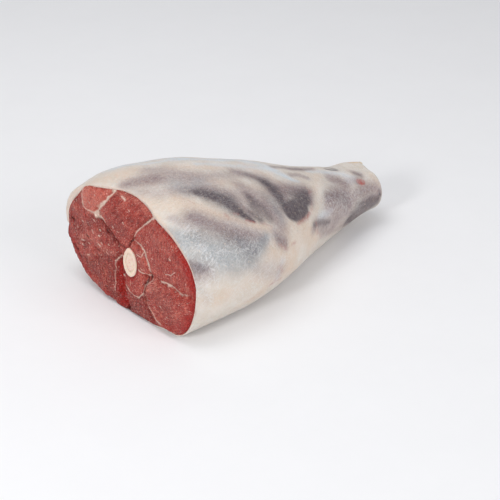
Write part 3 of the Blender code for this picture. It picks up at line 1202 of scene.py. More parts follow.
@dataclass(frozen=True)
class LeanFinish(FleshFinish):
    """Wet red muscle with close grain and pale seams, painted shade in its clefts and pits, and painted
    highlights on its ridges and edges.
    """

    name: str = "raw lean"
    gloss_size: float = 0.003
    wet: float = 0.26
    dry: float = 0.50
    bump_depth: float = 0.0014
    bump_strength: float = 0.75
    specular: float = 0.4
    soak: float = 0.12
    soak_colour: Triple = (1.0, 0.25, 0.18)
    coat: float = 0.10
    coat_rough: float = 0.18
    light: Colour = linear(206, 97, 81)
    middle: Colour = linear(165, 46, 36)
    deep: Colour = linear(114, 15, 10)
    bright: Colour = linear(170, 29, 19)
    # The colour of the painted shade in clefts and pits.
    gap: Colour = linear(70, 8, 6)
    seam: Colour = linear(255, 228, 210)
    # Pale pink of the grain's threads and bundles; the same colour paints highlights on ridges and wet
    # glints.
    grain: Colour = linear(222, 134, 116)
    # The colour of painted glints.
    shine: Colour = linear(248, 206, 192)
    bundle_cells: float = 340.0
    twist_cells: float = 260.0
    twist: float = 0.0016

    def surface(self, graph: FinishGraph) -> tuple[Socket, Socket]:
        """Muscle of uneven tone under its painted lines, with threads, bundles, painted shade of small pits
        and painted wet glints.

        Args:
            graph: The material's graph.

        Returns:
            The colour's socket and the height's.
        """
        paint = {mask: graph.attribute(mask.value) for mask in CutPaint}
        grain = {0: graph.attribute("along_grain"), 1: graph.attribute("across_grain")}
        flow = graph.fed("ShaderNodeCombineXYZ", grain).outputs[0]
        fine = graph.mottle(size=0.0020, contrast=1.9)
        streaks, streak_height = graph.fibres(0.0010, 5.0, Vector=flow)
        strands, strand_height = graph.fibres(0.0024, 4.0, Vector=flow)
        uneven = graph.times(graph.minus(graph.mottle(size=0.009, contrast=1.7), 0.5), 0.85)
        for value, share in ((fine, 0.42), (streak_height, 1.3), (strand_height, 0.9)):
            uneven = graph.plus(uneven, graph.times(graph.minus(value, 0.5), share))
        tone = graph.plus(graph.attribute("muscle_tone"), uneven, clamp=True)
        colour = graph.blend(graph.rise(tone, 0.0, 0.5), self.deep, self.middle)
        colour = graph.blend(graph.rise(tone, 0.5, 1.0), colour, self.light)
        plain = graph.minus(1.0, paint[CutPaint.BRIGHT], clamp=True)
        bundles = self.bundles(graph)
        threads = graph.plus(graph.times(streaks, 0.22), graph.times(streaks, strands))
        layers = (
            (self.deep, paint[CutPaint.SHADE], graph.rise(fine, 0.2, 0.8, 1.0, 0.5), 0.9),
            (self.bright, paint[CutPaint.BRIGHT], 0.95),
            # This layer paints a pink film and painted highlights on ridges and edges.
            (self.grain, paint[CutPaint.VEIL], graph.rise(streak_height, 0.4, 0.6, 0.25, 1.0), 0.8),
            # Dark flecks: painted shade of small pits.
            (self.deep, graph.flecks(size=0.0030, amount=0.34), 0.42),
            (self.grain, threads, graph.rise(plain, 0.0, 1.0, 0.15, 1.0), 0.75),
            (self.grain, bundles, plain, 0.20),
            # Pink and pale flecks: painted wet glints.
            (self.grain, graph.flecks(size=0.0016, amount=0.42), plain, 0.34),
            (self.shine, graph.flecks(size=0.0012, amount=0.34, Vector=flow), plain, 0.80),
            # Painted shade in the clefts and pits.
            (self.gap, paint[CutPaint.GAP], 1.0),
            (self.seam, paint[CutPaint.SEAM], graph.rise(fine, 0.30, 0.58, 0.82, 1.0)),
        )
        for shade, *shares in layers:
            colour = graph.blend(graph.times(*shares), colour, shade)
        height = graph.minus(graph.plus(fine, streak_height), bundles)
        return colour, graph.plus(height, strand_height)

    def bundles(self, graph: FinishGraph) -> Socket:
        """Thin lines round the bundles of muscle fibre.

        Args:
            graph: The material's graph.

        Returns:
            The socket of their mask.
        """
        noise = graph.fed("ShaderNodeTexNoise", {"Vector": graph.place, "Scale": self.twist_cells})
        moved = graph.vector("MULTIPLY_ADD", noise.outputs["Color"], (self.twist,) * 3, graph.place)
        inputs = {"Vector": moved, "Scale": self.bundle_cells}
        cells = graph.fed("ShaderNodeTexVoronoi", inputs, feature="DISTANCE_TO_EDGE")
        return graph.rise(cells.outputs["Distance"], 0.14, 0.0)


@dataclass(frozen=True)
class BoneFinish(FleshFinish):
    """Sawn bone: cream, a little porous, moist."""

    name: str = "sawn bone"
    bump_depth: float = 0.0003
    cream: Colour = linear(229, 201, 180)
    pale: Colour = linear(237, 216, 198)
    pink: Colour = linear(222, 176, 150)

    def surface(self, graph: FinishGraph) -> tuple[Socket, Socket]:
        """Cream blotches with pink pores.

        Args:
            graph: The material's graph.

        Returns:
            The colour's socket and the height's.
        """
        blotch, pores = graph.mottle(size=0.005, contrast=1.5), graph.flecks(size=0.0009, amount=0.3)
        colour = graph.blend(blotch, self.cream, self.pale)
        return graph.blend(graph.times(pores, 0.45), colour, self.pink), graph.minus(blotch, pores)


@dataclass(frozen=True)
class MarrowFinish(FleshFinish):
    """Marrow: pinkish cream, soft and grainy."""

    name: str = "marrow"
    wet: float = 0.28
    dry: float = 0.45
    soak: float = 0.2
    cream: Colour = linear(234, 218, 202)
    pink: Colour = linear(228, 192, 172)
    spot: Colour = linear(184, 108, 84)

    def surface(self, graph: FinishGraph) -> tuple[Socket, Socket]:
        """Cream and pink blotches with red-brown spots.

        Args:
            graph: The material's graph.

        Returns:
            The colour's socket and the height's.
        """
        blotch = graph.mottle(size=0.0035, contrast=2.2)
        colour = graph.blend(blotch, self.cream, self.pink)
        spots = graph.times(graph.flecks(size=0.0013, amount=0.36), 0.60)
        return graph.blend(spots, colour, self.spot), blotch


@dataclass(frozen=True)
class TendonFinish(FleshFinish):
    """Cut tendon: tan, drying, with fibres along it."""

    name: str = "heel tendon"
    gloss_size: float = 0.003
    dry: float = 0.6
    bump_depth: float = 0.0006
    bump_strength: float = 0.6
    tan: Colour = linear(208, 182, 154)
    pale: Colour = linear(226, 210, 190)
    brown: Colour = linear(176, 138, 110)

    def surface(self, graph: FinishGraph) -> tuple[Socket, Socket]:
        """Tan blotches with brown streaks.

        Args:
            graph: The material's graph.

        Returns:
            The colour's socket and the height's.
        """
        streaks, height = graph.fibres(0.0009, 9.0)
        colour = graph.blend(graph.mottle(size=0.004, contrast=1.8), self.pale, self.tan)
        return graph.blend(graph.times(streaks, 0.5), colour, self.brown), height


@dataclass(frozen=True)
class FloorFinish:
    """A plain pale studio floor, faintly uneven."""

    pale: Colour = linear(246, 246, 247)
    shade: Colour = linear(242, 242, 243)
    rough: float = 0.6

    def build(self, effects: Effects) -> Material:
        """Makes the material.

        Args:
            effects: The shared node groups.

        Returns:
            The material.
        """
        graph = FinishGraph("studio floor", effects)
        colour = graph.blend(graph.mottle(size=0.06, contrast=1.0), self.pale, self.shade)
        graph.feed(graph.shader["Base Color"], colour)
        graph.feed(graph.shader["Roughness"], self.rough)
        return graph.material


# Strokes on the fell

SOFT = 1
CRISP = 2


@dataclass(frozen=True)
class Stroke:
    """A brush stroke on the fell, through (place, turn in degrees, half width) points."""

    paint: Paint
    strength: float
    edge: int
    line: tuple[Triple, ...]


def stroke(paint: Paint, strength: float, *line: Triple, edge: int = SOFT) -> Stroke:
    """A stroke, with its points as single arguments."""
    return Stroke(paint, strength, edge, line)


# Strokes of the bluish paint are a painted sheen, the reflection of the light.
dark, lilac, sheen, warm, pale, cool_sheen, blood, fibre = (partial(stroke, paint) for paint in Paint)

FELL_STROKES = (
    # Painted bluish sheen along the top, a reflection of the light, and the cream band under it
    cool_sheen(0.70, (-86, 64, 4.7), (-72, 72, 5.1), (-50, 73, 5.2), (-24, 71, 5.6), (-10, 76, 6.2),
        (0, 82, 5.7), (6, 95, 6.5), (12, 105, 5.2)),
    lilac(0.50, (8, 83, 3.7), (25, 82, 4.8), (40, 84, 4.8)),
    dark(0.24, (8, 83, 2.4), (25, 82, 3.2), (41, 83, 3.2)),
    warm(0.55, (-108, 79, 5.1), (-90, 84, 5.1), (-69, 88, 5.1), (-43, 87, 4.7), (-22, 87, 4.3),
        (-13, 98, 4.3), (-8, 110, 4.3)),
    # Grey over the top of the thigh
    lilac(0.50, (-132, 86, 11.1), (-114, 91, 12.3), (-91, 95, 11.6), (-64, 97, 10.0), (-42, 96, 7.7)),
    sheen(0.40, (-125, 93, 9.4), (-116, 99, 9.2), (-99, 98, 8.6)),
    warm(0.40, (-82, 100, 7.9), (-68, 103, 8.4), (-59, 107, 7.0)),
    warm(0.35, (-50, 112, 4.6), (-37, 113, 5.5), (-33, 120, 3.6)),
    # The long dark hollow of the thigh
    lilac(0.67, (-131, 96, 8.3), (-118, 100, 10.6), (-104, 104, 9.2), (-90, 108, 10.6), (-80, 115, 10.4),
        (-77, 124, 8.2), (-73, 134, 6.1)),
    dark(0.33, (-120, 101, 7.1), (-111, 104, 7.0)),
    dark(0.94, (-112, 105, 5.3), (-104, 109, 8.1), (-96, 114, 9.9), (-90, 119, 9.9), (-87, 126, 8.3),
        (-83, 132, 5.4), (-78, 137, 3.2), (-74, 140, 1.6)),
    sheen(0.30, (-94, 110, 5.4), (-84, 115, 5.4), (-83, 120, 4.3)),
    # Streaks between it and the knee
    lilac(0.67, (-61, 116, 6.9), (-58, 125, 11.1), (-51, 133, 13.3), (-44, 144, 13.2), (-43, 152, 11.0)),
    dark(0.44, (-58, 118, 3.2), (-57, 126, 4.5), (-53, 131, 5.8), (-51, 136, 4.9), (-51, 142, 3.4)),
    dark(0.31, (-65, 128, 3.4), (-64, 135, 3.8), (-64, 141, 2.9)),
    sheen(0.35, (-35, 128, 4.9), (-39, 138, 5.9), (-38, 146, 5.1)),
    lilac(0.73, (-44, 92, 6.1), (-33, 96, 9.2), (-25, 103, 12.3), (-22, 114, 14.8), (-22, 125, 14.4),
        (-22, 136, 10.3)),
    dark(0.39, (-33, 97, 5.1), (-25, 103, 7.1), (-24, 108, 7.7)),
    dark(0.83, (-24, 108, 6.6), (-23, 116, 9.1), (-23, 124, 9.1), (-25, 132, 7.5), (-26, 138, 6.1)),
    # Cream band between the hollow and the broad muscle
    warm(0.80, (-139, 101, 5.9), (-132, 110, 6.5), (-122, 119, 5.8), (-110, 126, 4.7), (-99, 132, 4.1),
        (-89, 138, 3.1), (-72, 145, 4.0), (-57, 150, 3.5)),
    pale(0.40, (-103, 137, 3.6), (-90, 142, 4.0)),
    blood(0.40, (-103, 127, 1.6), (-103, 130, 1.6)),
    blood(0.75, (-85, 137, 1.1), (-78, 139, 1.4), (-74, 141, 1.1)),
    blood(0.40, (-93, 129, 1.0), (-88, 131, 1.0)),
    blood(0.30, (-130, 108, 1.1), (-128, 110, 1.1)),
    # Grey film over the broad muscle
    lilac(0.84, (-140, 118, 8.0), (-132, 126, 11.0), (-120, 135, 13.0), (-104, 143, 13.6),
        (-89, 149, 10.8), (-73, 154, 8.4)),
    dark(0.18, (-144, 113, 7.5), (-134, 122, 8.2), (-120, 133, 8.2), (-105, 145, 9.6), (-101, 151, 7.8)),
    dark(0.18, (-108, 145, 6.1), (-101, 151, 5.9), (-94, 148, 4.6)),
    sheen(0.85, (-163, 123, 9.2), (-153, 135, 12.0), (-139, 147, 13.6), (-119, 157, 13.9),
        (-100, 161, 12.5), (-80, 160, 9.2), (-67, 155, 5.2)),
    sheen(0.60, (-133, 161, 10.8), (-114, 169, 9.7), (-97, 168, 8.2)),
    dark(0.24, (-97, 165, 7.4), (-83, 160, 8.2), (-72, 157, 5.0)),
    lilac(0.84, (-166, 147, 6.7), (-159, 154, 7.7), (-153, 158, 5.7)),
    dark(0.46, (-166, 146, 4.0), (-162, 152, 5.7), (-156, 156, 4.4)),
    lilac(0.39, (-166, 156, 5.0), (-162, 160, 6.7)),
    # Between that film and the knee
    pale(0.35, (-58, 149, 5.2), (-47, 153, 5.4)),
    lilac(0.62, (-55, 155, 5.5), (-50, 161, 6.6), (-44, 168, 5.5)),
    dark(0.24, (-54, 157, 3.0), (-49, 163, 3.6), (-44, 167, 2.8)),
    blood(0.50, (-53, 164, 1.1), (-48, 168, 1.6), (-43, 171, 1.5)),
    warm(0.65, (-67, 165, 6.9), (-55, 173, 8.5), (-40, 184, 8.4), (-24, 203, 8.6)),
    warm(0.55, (-34, 157, 7.6), (-28, 167, 10.1), (-31, 176, 10.5)),
    lilac(0.39, (-86, 176, 9.0), (-68, 180, 11.6), (-49, 187, 9.0)),
    blood(0.40, (-53, 183, 1.7), (-48, 187, 1.7)),
    # Painted bluish sheen of the light
    cool_sheen(0.40, (-50, 179, 4.2), (-54, 185, 4.2), (-54, 192, 4.2)),
    blood(0.50, (-64, 195, 1.3), (-55, 196, 1.5), (-47, 197, 1.1)),
    blood(0.35, (-33, 170, 1.3), (-29, 171, 1.3)),
    warm(0.50, (-128, 173, 7.0), (-102, 176, 8.1), (-75, 186, 7.9)),
    pale(0.50, (-148, 168, 5.9), (-113, 179, 8.4)),
    # The three-cornered dark muscle
    lilac(0.90, (-22, 122, 8.6), (-5, 120, 9.9), (5, 123, 11.2), (16, 127, 12.0), (16, 137, 8.4)),
    dark(0.55, (-5, 128, 7.4), (5, 129, 9.1), (16, 131, 8.3), (17, 139, 4.6)),
    dark(0.97, (-23, 141, 6.5), (-16, 143, 9.4), (-9, 144, 10.6), (-1, 145, 8.6), (2, 146, 6.8),
        edge=CRISP),
    dark(0.70, (-10, 139, 6.4), (2, 139, 7.4), (11, 137, 5.8), edge=CRISP),
    dark(0.45, (2, 134, 6.6), (13, 130, 5.9), (18, 127, 4.6)),
    blood(0.20, (5, 153, 1.2), (12, 149, 1.3), (18, 143, 1.2), edge=CRISP),
    dark(0.66, (-22, 137, 4.1), (-13, 136, 5.5), edge=CRISP),
    blood(0.30, (23, 129, 1.8), (21, 131, 1.8)),
    blood(0.65, (8, 153, 1.7), (1, 156, 2.2), (-8, 156, 1.7), (-18, 156, 1.5)),
    # Cream round it and over the knee
    warm(0.55, (57, 92, 5.1), (47, 111, 5.8), (32, 127, 5.4), (20, 141, 3.5), (13, 151, 3.3)),
    pale(0.50, (52, 111, 4.6), (37, 129, 4.6), (27, 139, 4.1)),
    warm(0.60, (-4, 162, 7.5), (-22, 161, 8.7), (-37, 156, 6.6)),
    warm(0.75, (16, 189, 7.6), (-2, 175, 11.2), (-21, 172, 11.1), (-38, 169, 8.7)),
    blood(0.30, (-28, 171, 1.7), (-34, 171, 1.5)),
    lilac(0.50, (-52, 161, 5.7), (-43, 164, 4.8)),
    # The shank's film and its dark places
    lilac(0.67, (27, 83, 3.3), (41, 82, 4.6), (57, 80, 4.2)),
    dark(0.28, (37, 83, 2.4), (45, 84, 2.4), (54, 83, 1.8)),
    lilac(0.67, (19, 98, 4.1), (28, 99, 5.5), (35, 105, 4.6)),
    # Painted bluish sheens of the light on the shank
    cool_sheen(0.60, (9, 99, 3.4), (12, 107, 2.6), (19, 111, 2.3)),
    cool_sheen(0.55, (47, 89, 3.1), (62, 90, 4.7), (72, 96, 5.1)),
    dark(0.66, (74, 80, 1.7), (79, 83, 2.6), (85, 84, 1.8)),
    cool_sheen(0.55, (79, 95, 4.7), (89, 102, 5.2), (97, 114, 5.3), (87, 119, 4.3)),
    lilac(0.62, (67, 107, 6.2), (75, 113, 7.1), (80, 127, 6.6)),
    dark(0.17, (74, 111, 4.0), (78, 118, 4.1)),
    lilac(0.67, (105, 94, 4.8), (109, 104, 5.1)),
    dark(0.39, (104, 99, 2.9), (108, 105, 2.8)),
    warm(0.40, (122, 104, 4.8), (124, 122, 4.2), (124, 142, 3.9)),
    blood(0.85, (101, 125, 3.0), (104, 128, 3.8), (107, 130, 2.4), edge=CRISP),
    lilac(0.90, (43, 146, 6.0), (52, 144, 10.0), (65, 145, 12.4), (77, 155, 11.9), (78, 168, 9.8)),
    dark(0.33, (44, 142, 6.5), (56, 145, 8.1), (70, 153, 9.1), (71, 162, 6.3)),
    lilac(0.73, (41, 156, 8.2), (55, 167, 11.6), (74, 180, 11.9), (57, 181, 11.7)),
    lilac(0.78, (91, 156, 8.2), (104, 150, 9.8), (118, 150, 8.3), (124, 163, 7.0), (119, 178, 8.2),
        (104, 176, 8.3)),
    dark(0.16, (100, 151, 5.9), (112, 153, 5.5)),
    lilac(0.78, (81, 210, 9.5), (99, 213, 11.1), (114, 201, 9.6)),
    dark(0.66, (79, 201, 5.7), (89, 197, 8.6), (100, 193, 9.6), (110, 190, 7.9), (121, 187, 4.8),
        (124, 176, 2.9)),
    dark(0.55, (75, 209, 4.4), (95, 218, 4.9), (110, 219, 4.9), (121, 200, 3.8)),
    dark(0.30, (124, 158, 1.3), (124, 167, 2.0), (124, 176, 1.8)),
    # Painted bluish sheen of the light
    cool_sheen(0.60, (23, 166, 5.3), (33, 165, 5.1), (44, 164, 3.5)),
    lilac(0.67, (8, 173, 5.4), (15, 171, 6.9), (34, 179, 8.3), (50, 183, 8.4)),
    dark(0.55, (10, 169, 2.8), (20, 171, 3.4), (32, 177, 4.0), (40, 180, 2.8)),
    dark(0.33, (10, 176, 2.0), (12, 173, 2.0)),
    blood(0.60, (15, 169, 1.7), (16, 172, 1.6)),
    blood(0.40, (17, 179, 1.6), (15, 182, 1.4)),
    lilac(0.34, (29, 190, 5.5), (47, 196, 4.6)),
    # Brown-grey film and cream behind the cut's top edge
    warm(0.70, (-164, 46, 6.4), (-159, 57, 10.6), (-149, 65, 10.1), (-140, 68, 9.2)),
    warm(0.55, (-154, 75, 5.4), (-149, 79, 7.2), (-143, 83, 7.8), (-135, 85, 7.3)),
    lilac(0.78, (-156, 74, 6.6), (-149, 79, 9.5), (-142, 82, 10.3), (-134, 85, 9.6)),
    dark(0.11, (-152, 77, 5.5), (-144, 82, 7.3), (-138, 84, 6.5)),
    lilac(0.50, (-128, 74, 8.6), (-117, 79, 10.0), (-108, 89, 10.0), (-100, 95, 11.4)),
    # Painted bluish sheen of the light along the top edge
    cool_sheen(0.60, (-144, 46, 3.0), (-131, 55, 2.5), (-118, 65, 3.0), (-95, 67, 4.6), (-81, 71, 5.1)),
    lilac(0.39, (-156, 87, 6.1), (-146, 94, 7.3)),
    warm(0.55, (-160, 90, 7.4), (-154, 98, 8.0), (-143, 109, 7.9)),
    warm(0.85, (-165, 77, 2.5), (-162, 87, 3.1), (-162, 93, 3.0), (-164, 100, 2.9), (-165, 108, 2.5),
        (-166, 118, 2.1), (-166, 127, 1.8)),
    pale(0.50, (-165, 52, 2.5), (-166, 67, 2.3), (-165, 78, 2.5)),
    sheen(0.50, (-165, 114, 4.8), (-162, 124, 7.7), (-153, 129, 9.1)),
    lilac(0.50, (-156, 110, 4.5), (-152, 117, 6.2), (-140, 121, 9.2)),
    # Fine film and cream at the cut's near edge
    sheen(0.60, (-166, 129, 4.6), (-162, 141, 4.9), (-154, 149, 8.7), (-135, 154, 10.6)),
    warm(0.50, (-161, 179, 6.3), (-144, 183, 10.0), (-131, 181, 10.0)),
    pale(0.40, (-162, 183, 3.3), (-147, 189, 5.4), (-127, 194, 5.9)),
    sheen(0.22, (-166, 170, 5.3), (-153, 181, 5.1)),
    blood(0.35, (-165, 186, 1.6), (-166, 183, 1.1)),
    lilac(0.34, (-164, 163, 6.9), (-151, 165, 7.0)),
    # Second layer: deeper grey round the streaks, and lighter fat beside them
    lilac(0.62, (-57, 109, 8.7), (-51, 119, 11.3), (-46, 129, 13.0), (-40, 139, 11.2)),
    dark(0.42, (-60, 122, 4.0), (-61, 130, 5.6), (-59, 137, 5.8), (-56, 142, 4.2)),
    dark(0.22, (-40, 121, 6.1), (-39, 130, 5.9), (-37, 138, 5.1)),
    dark(0.16, (-139, 131, 6.8), (-130, 138, 8.1), (-120, 143, 6.7)),
    pale(0.50, (-47, 83, 5.0), (-36, 85, 5.1), (-27, 85, 3.9)),
    warm(0.60, (-66, 170, 8.1), (-45, 171, 10.7), (-33, 185, 11.5), (-43, 192, 9.6)),
    lilac(0.50, (69, 116, 7.1), (76, 128, 7.9), (89, 121, 6.4), (101, 117, 4.7)),
    lilac(0.45, (22, 181, 5.9), (47, 196, 7.1), (68, 208, 7.2)),
    dark(0.45, (2, 136, 5.9), (9, 137, 5.5)),
    dark(0.80, (-24, 146, 4.6), (-17, 149, 5.3), (-6, 150, 4.9), edge=CRISP),
    warm(0.60, (-26, 159, 9.3), (-11, 167, 10.1), (3, 180, 10.3)),
    warm(0.40, (-150, 182, 8.9), (-130, 184, 10.9), (-110, 183, 11.0)),
    # Third layer: single patches, films and glints
    dark(0.55, (-72, 132, 2.8), (-69, 137, 3.9), (-66, 142, 3.4)),
    pale(0.40, (-62, 116, 3.6), (-63, 123, 3.7), (-63, 128, 2.7)),
    pale(0.35, (-91, 126, 2.7), (-87, 131, 3.1), (-83, 136, 2.2)),
    dark(0.50, (80, 72, 2.9), (84, 76, 3.5), (87, 81, 2.6)),
    warm(0.55, (-77, 195, 6.6), (-65, 188, 7.9), (-47, 185, 8.0), (-28, 182, 6.7)),
    warm(0.55, (-107, 201, 5.2), (-89, 201, 6.6), (-73, 199, 6.6)),
    warm(0.50, (24, 147, 3.9), (19, 166, 5.5), (14, 183, 6.9), (1, 191, 6.9)),
    warm(0.45, (62, 147, 4.2), (65, 163, 4.8), (49, 168, 4.1)),
    # Painted bluish sheen of the light along the top
    cool_sheen(0.55, (-77, 82, 3.5), (-49, 85, 4.1), (-20, 87, 4.1), (8, 89, 3.6)),
    sheen(0.65, (-105, 149, 4.2), (-98, 155, 5.4), (-91, 161, 4.4)),
    dark(0.22, (-153, 126, 5.6), (-146, 133, 6.5), (-141, 139, 4.6)),
    dark(0.35, (90, 177, 3.2), (102, 181, 3.7), (114, 176, 3.2)),
    pale(0.35, (51, 115, 4.2), (44, 134, 3.8), (34, 139, 3.1)),
    blood(0.70, (101, 124, 2.0), (102, 129, 1.9), (103, 133, 1.3)),
    blood(0.30, (-83, 136, 0.9), (-79, 139, 1.1), (-74, 141, 0.9)),
    blood(0.30, (-67, 143, 1.0), (-61, 146, 1.1), (-56, 148, 0.9)),
    blood(0.35, (1, 155, 1.2), (8, 153, 1.5), (14, 150, 1.2)),
    blood(0.30, (11, 175, 1.4), (20, 184, 1.7), (28, 194, 1.3)),
    blood(0.35, (-66, 195, 1.6), (-56, 192, 1.9), (-48, 188, 1.5)),
    blood(0.28, (-58, 182, 1.3), (-49, 182, 1.5)),
    blood(0.25, (-98, 199, 1.6), (-87, 199, 1.8), (-77, 197, 1.4)),
    blood(0.25, (-46, 164, 1.1), (-44, 169, 1.4), (-44, 173, 1.0)),
    pale(0.55, (-30, 160, 7.4), (-21, 172, 9.4), (-15, 185, 8.1)),
    pale(0.40, (-83, 175, 6.5), (-64, 175, 7.2)),
    dark(0.26, (-118, 146, 6.6), (-103, 154, 7.5), (-89, 160, 5.8)),
    lilac(0.13, (-136, 101, 6.3), (-133, 110, 6.1), (-129, 119, 6.0)),
    dark(0.35, (99, 127, 3.6), (106, 129, 3.6)),
    # Fine white fibres in the film
    fibre(0.90, (-152, 123, 7.9), (-152, 131, 10.3), (-152, 141, 10.1), (-145, 154, 10.2)),
    fibre(0.60, (-126, 150, 11.8), (-106, 158, 11.9), (-84, 159, 8.2)),
    fibre(0.25, (-109, 107, 6.1), (-97, 114, 8.9), (-89, 123, 7.3)),
    fibre(0.20, (-34, 130, 8.5), (-4, 130, 10.7), (13, 130, 8.8)),
    fibre(0.60, (40, 150, 12.0), (60, 160, 14.0), (90, 160, 12.0)),
    fibre(0.50, (-110, 185, 14.0), (-80, 185, 16.0), (-50, 180, 12.0)),
    fibre(0.70, (-163, 167, 7.8), (-149, 168, 7.9), (-154, 181, 8.6)),
    # The far side and the underside, in the same manner
    lilac(0.65, (-130, 20, 14.0), (-100, 16, 16.0), (-66, 18, 12.0)),
    dark(0.60, (-112, 14, 5.0), (-90, 12, 8.0), (-72, 16, 5.0)),
    sheen(0.60, (-120, 34, 10.0), (-86, 36, 13.0), (-50, 40, 9.0)),
    lilac(0.70, (-40, 44, 9.0), (-14, 38, 12.0), (12, 40, 8.0)),
    dark(0.60, (-24, 40, 4.0), (-4, 36, 6.5), (10, 40, 4.0)),
    warm(0.60, (-150, 2, 9.0), (-120, -6, 11.0), (-80, -4, 8.0)),
    pale(0.60, (-60, 4, 9.0), (-30, 10, 10.0), (0, 16, 7.0)),
    lilac(0.65, (34, 20, 7.0), (60, 14, 9.0), (90, 12, 7.0)),
    dark(0.45, (44, 10, 4.0), (66, 4, 5.0), (84, 0, 4.0)),
    blood(0.45, (-74, 22, 1.5), (-62, 26, 1.8), (-50, 30, 1.2)),
    fibre(0.60, (-130, 20, 18.0), (-90, 24, 20.0), (-50, 30, 14.0)),
    lilac(0.50, (-120, 236, 12.0), (-84, 240, 14.0), (-50, 236, 10.0)),
    warm(0.50, (-130, 270, 12.0), (-80, 280, 14.0), (-30, 270, 10.0)),
    # Painted bluish sheen of the light near the top
    cool_sheen(0.55, (-140, 52, 6.0), (-104, 54, 8.0), (-60, 56, 7.0), (-20, 58, 4.0)),
    pale(0.60, (-146, 38, 5.0), (-110, 26, 5.0), (-84, 24, 4.0), (-52, 26, 5.0)),
    # Painted bluish sheen of the light
    cool_sheen(0.45, (-60, -4, 6.0), (-20, -2, 8.0), (30, 4, 6.0)),
    warm(0.60, (16, 30, 5.0), (50, 32, 6.0), (84, 34, 5.0), (112, 34, 4.0)),
    sheen(0.40, (20, 48, 4.0), (50, 44, 5.0), (82, 30, 4.0)),
    warm(0.45, (-140, 330, 9.0), (-90, 326, 10.0), (-40, 330, 8.0)),
    blood(0.40, (-120, 350, 1.2), (-108, 354, 1.6), (-100, 352, 1.0)),
    fibre(0.50, (-20, 20, 10.0), (30, 20, 10.0), (90, 16, 8.0)),
)


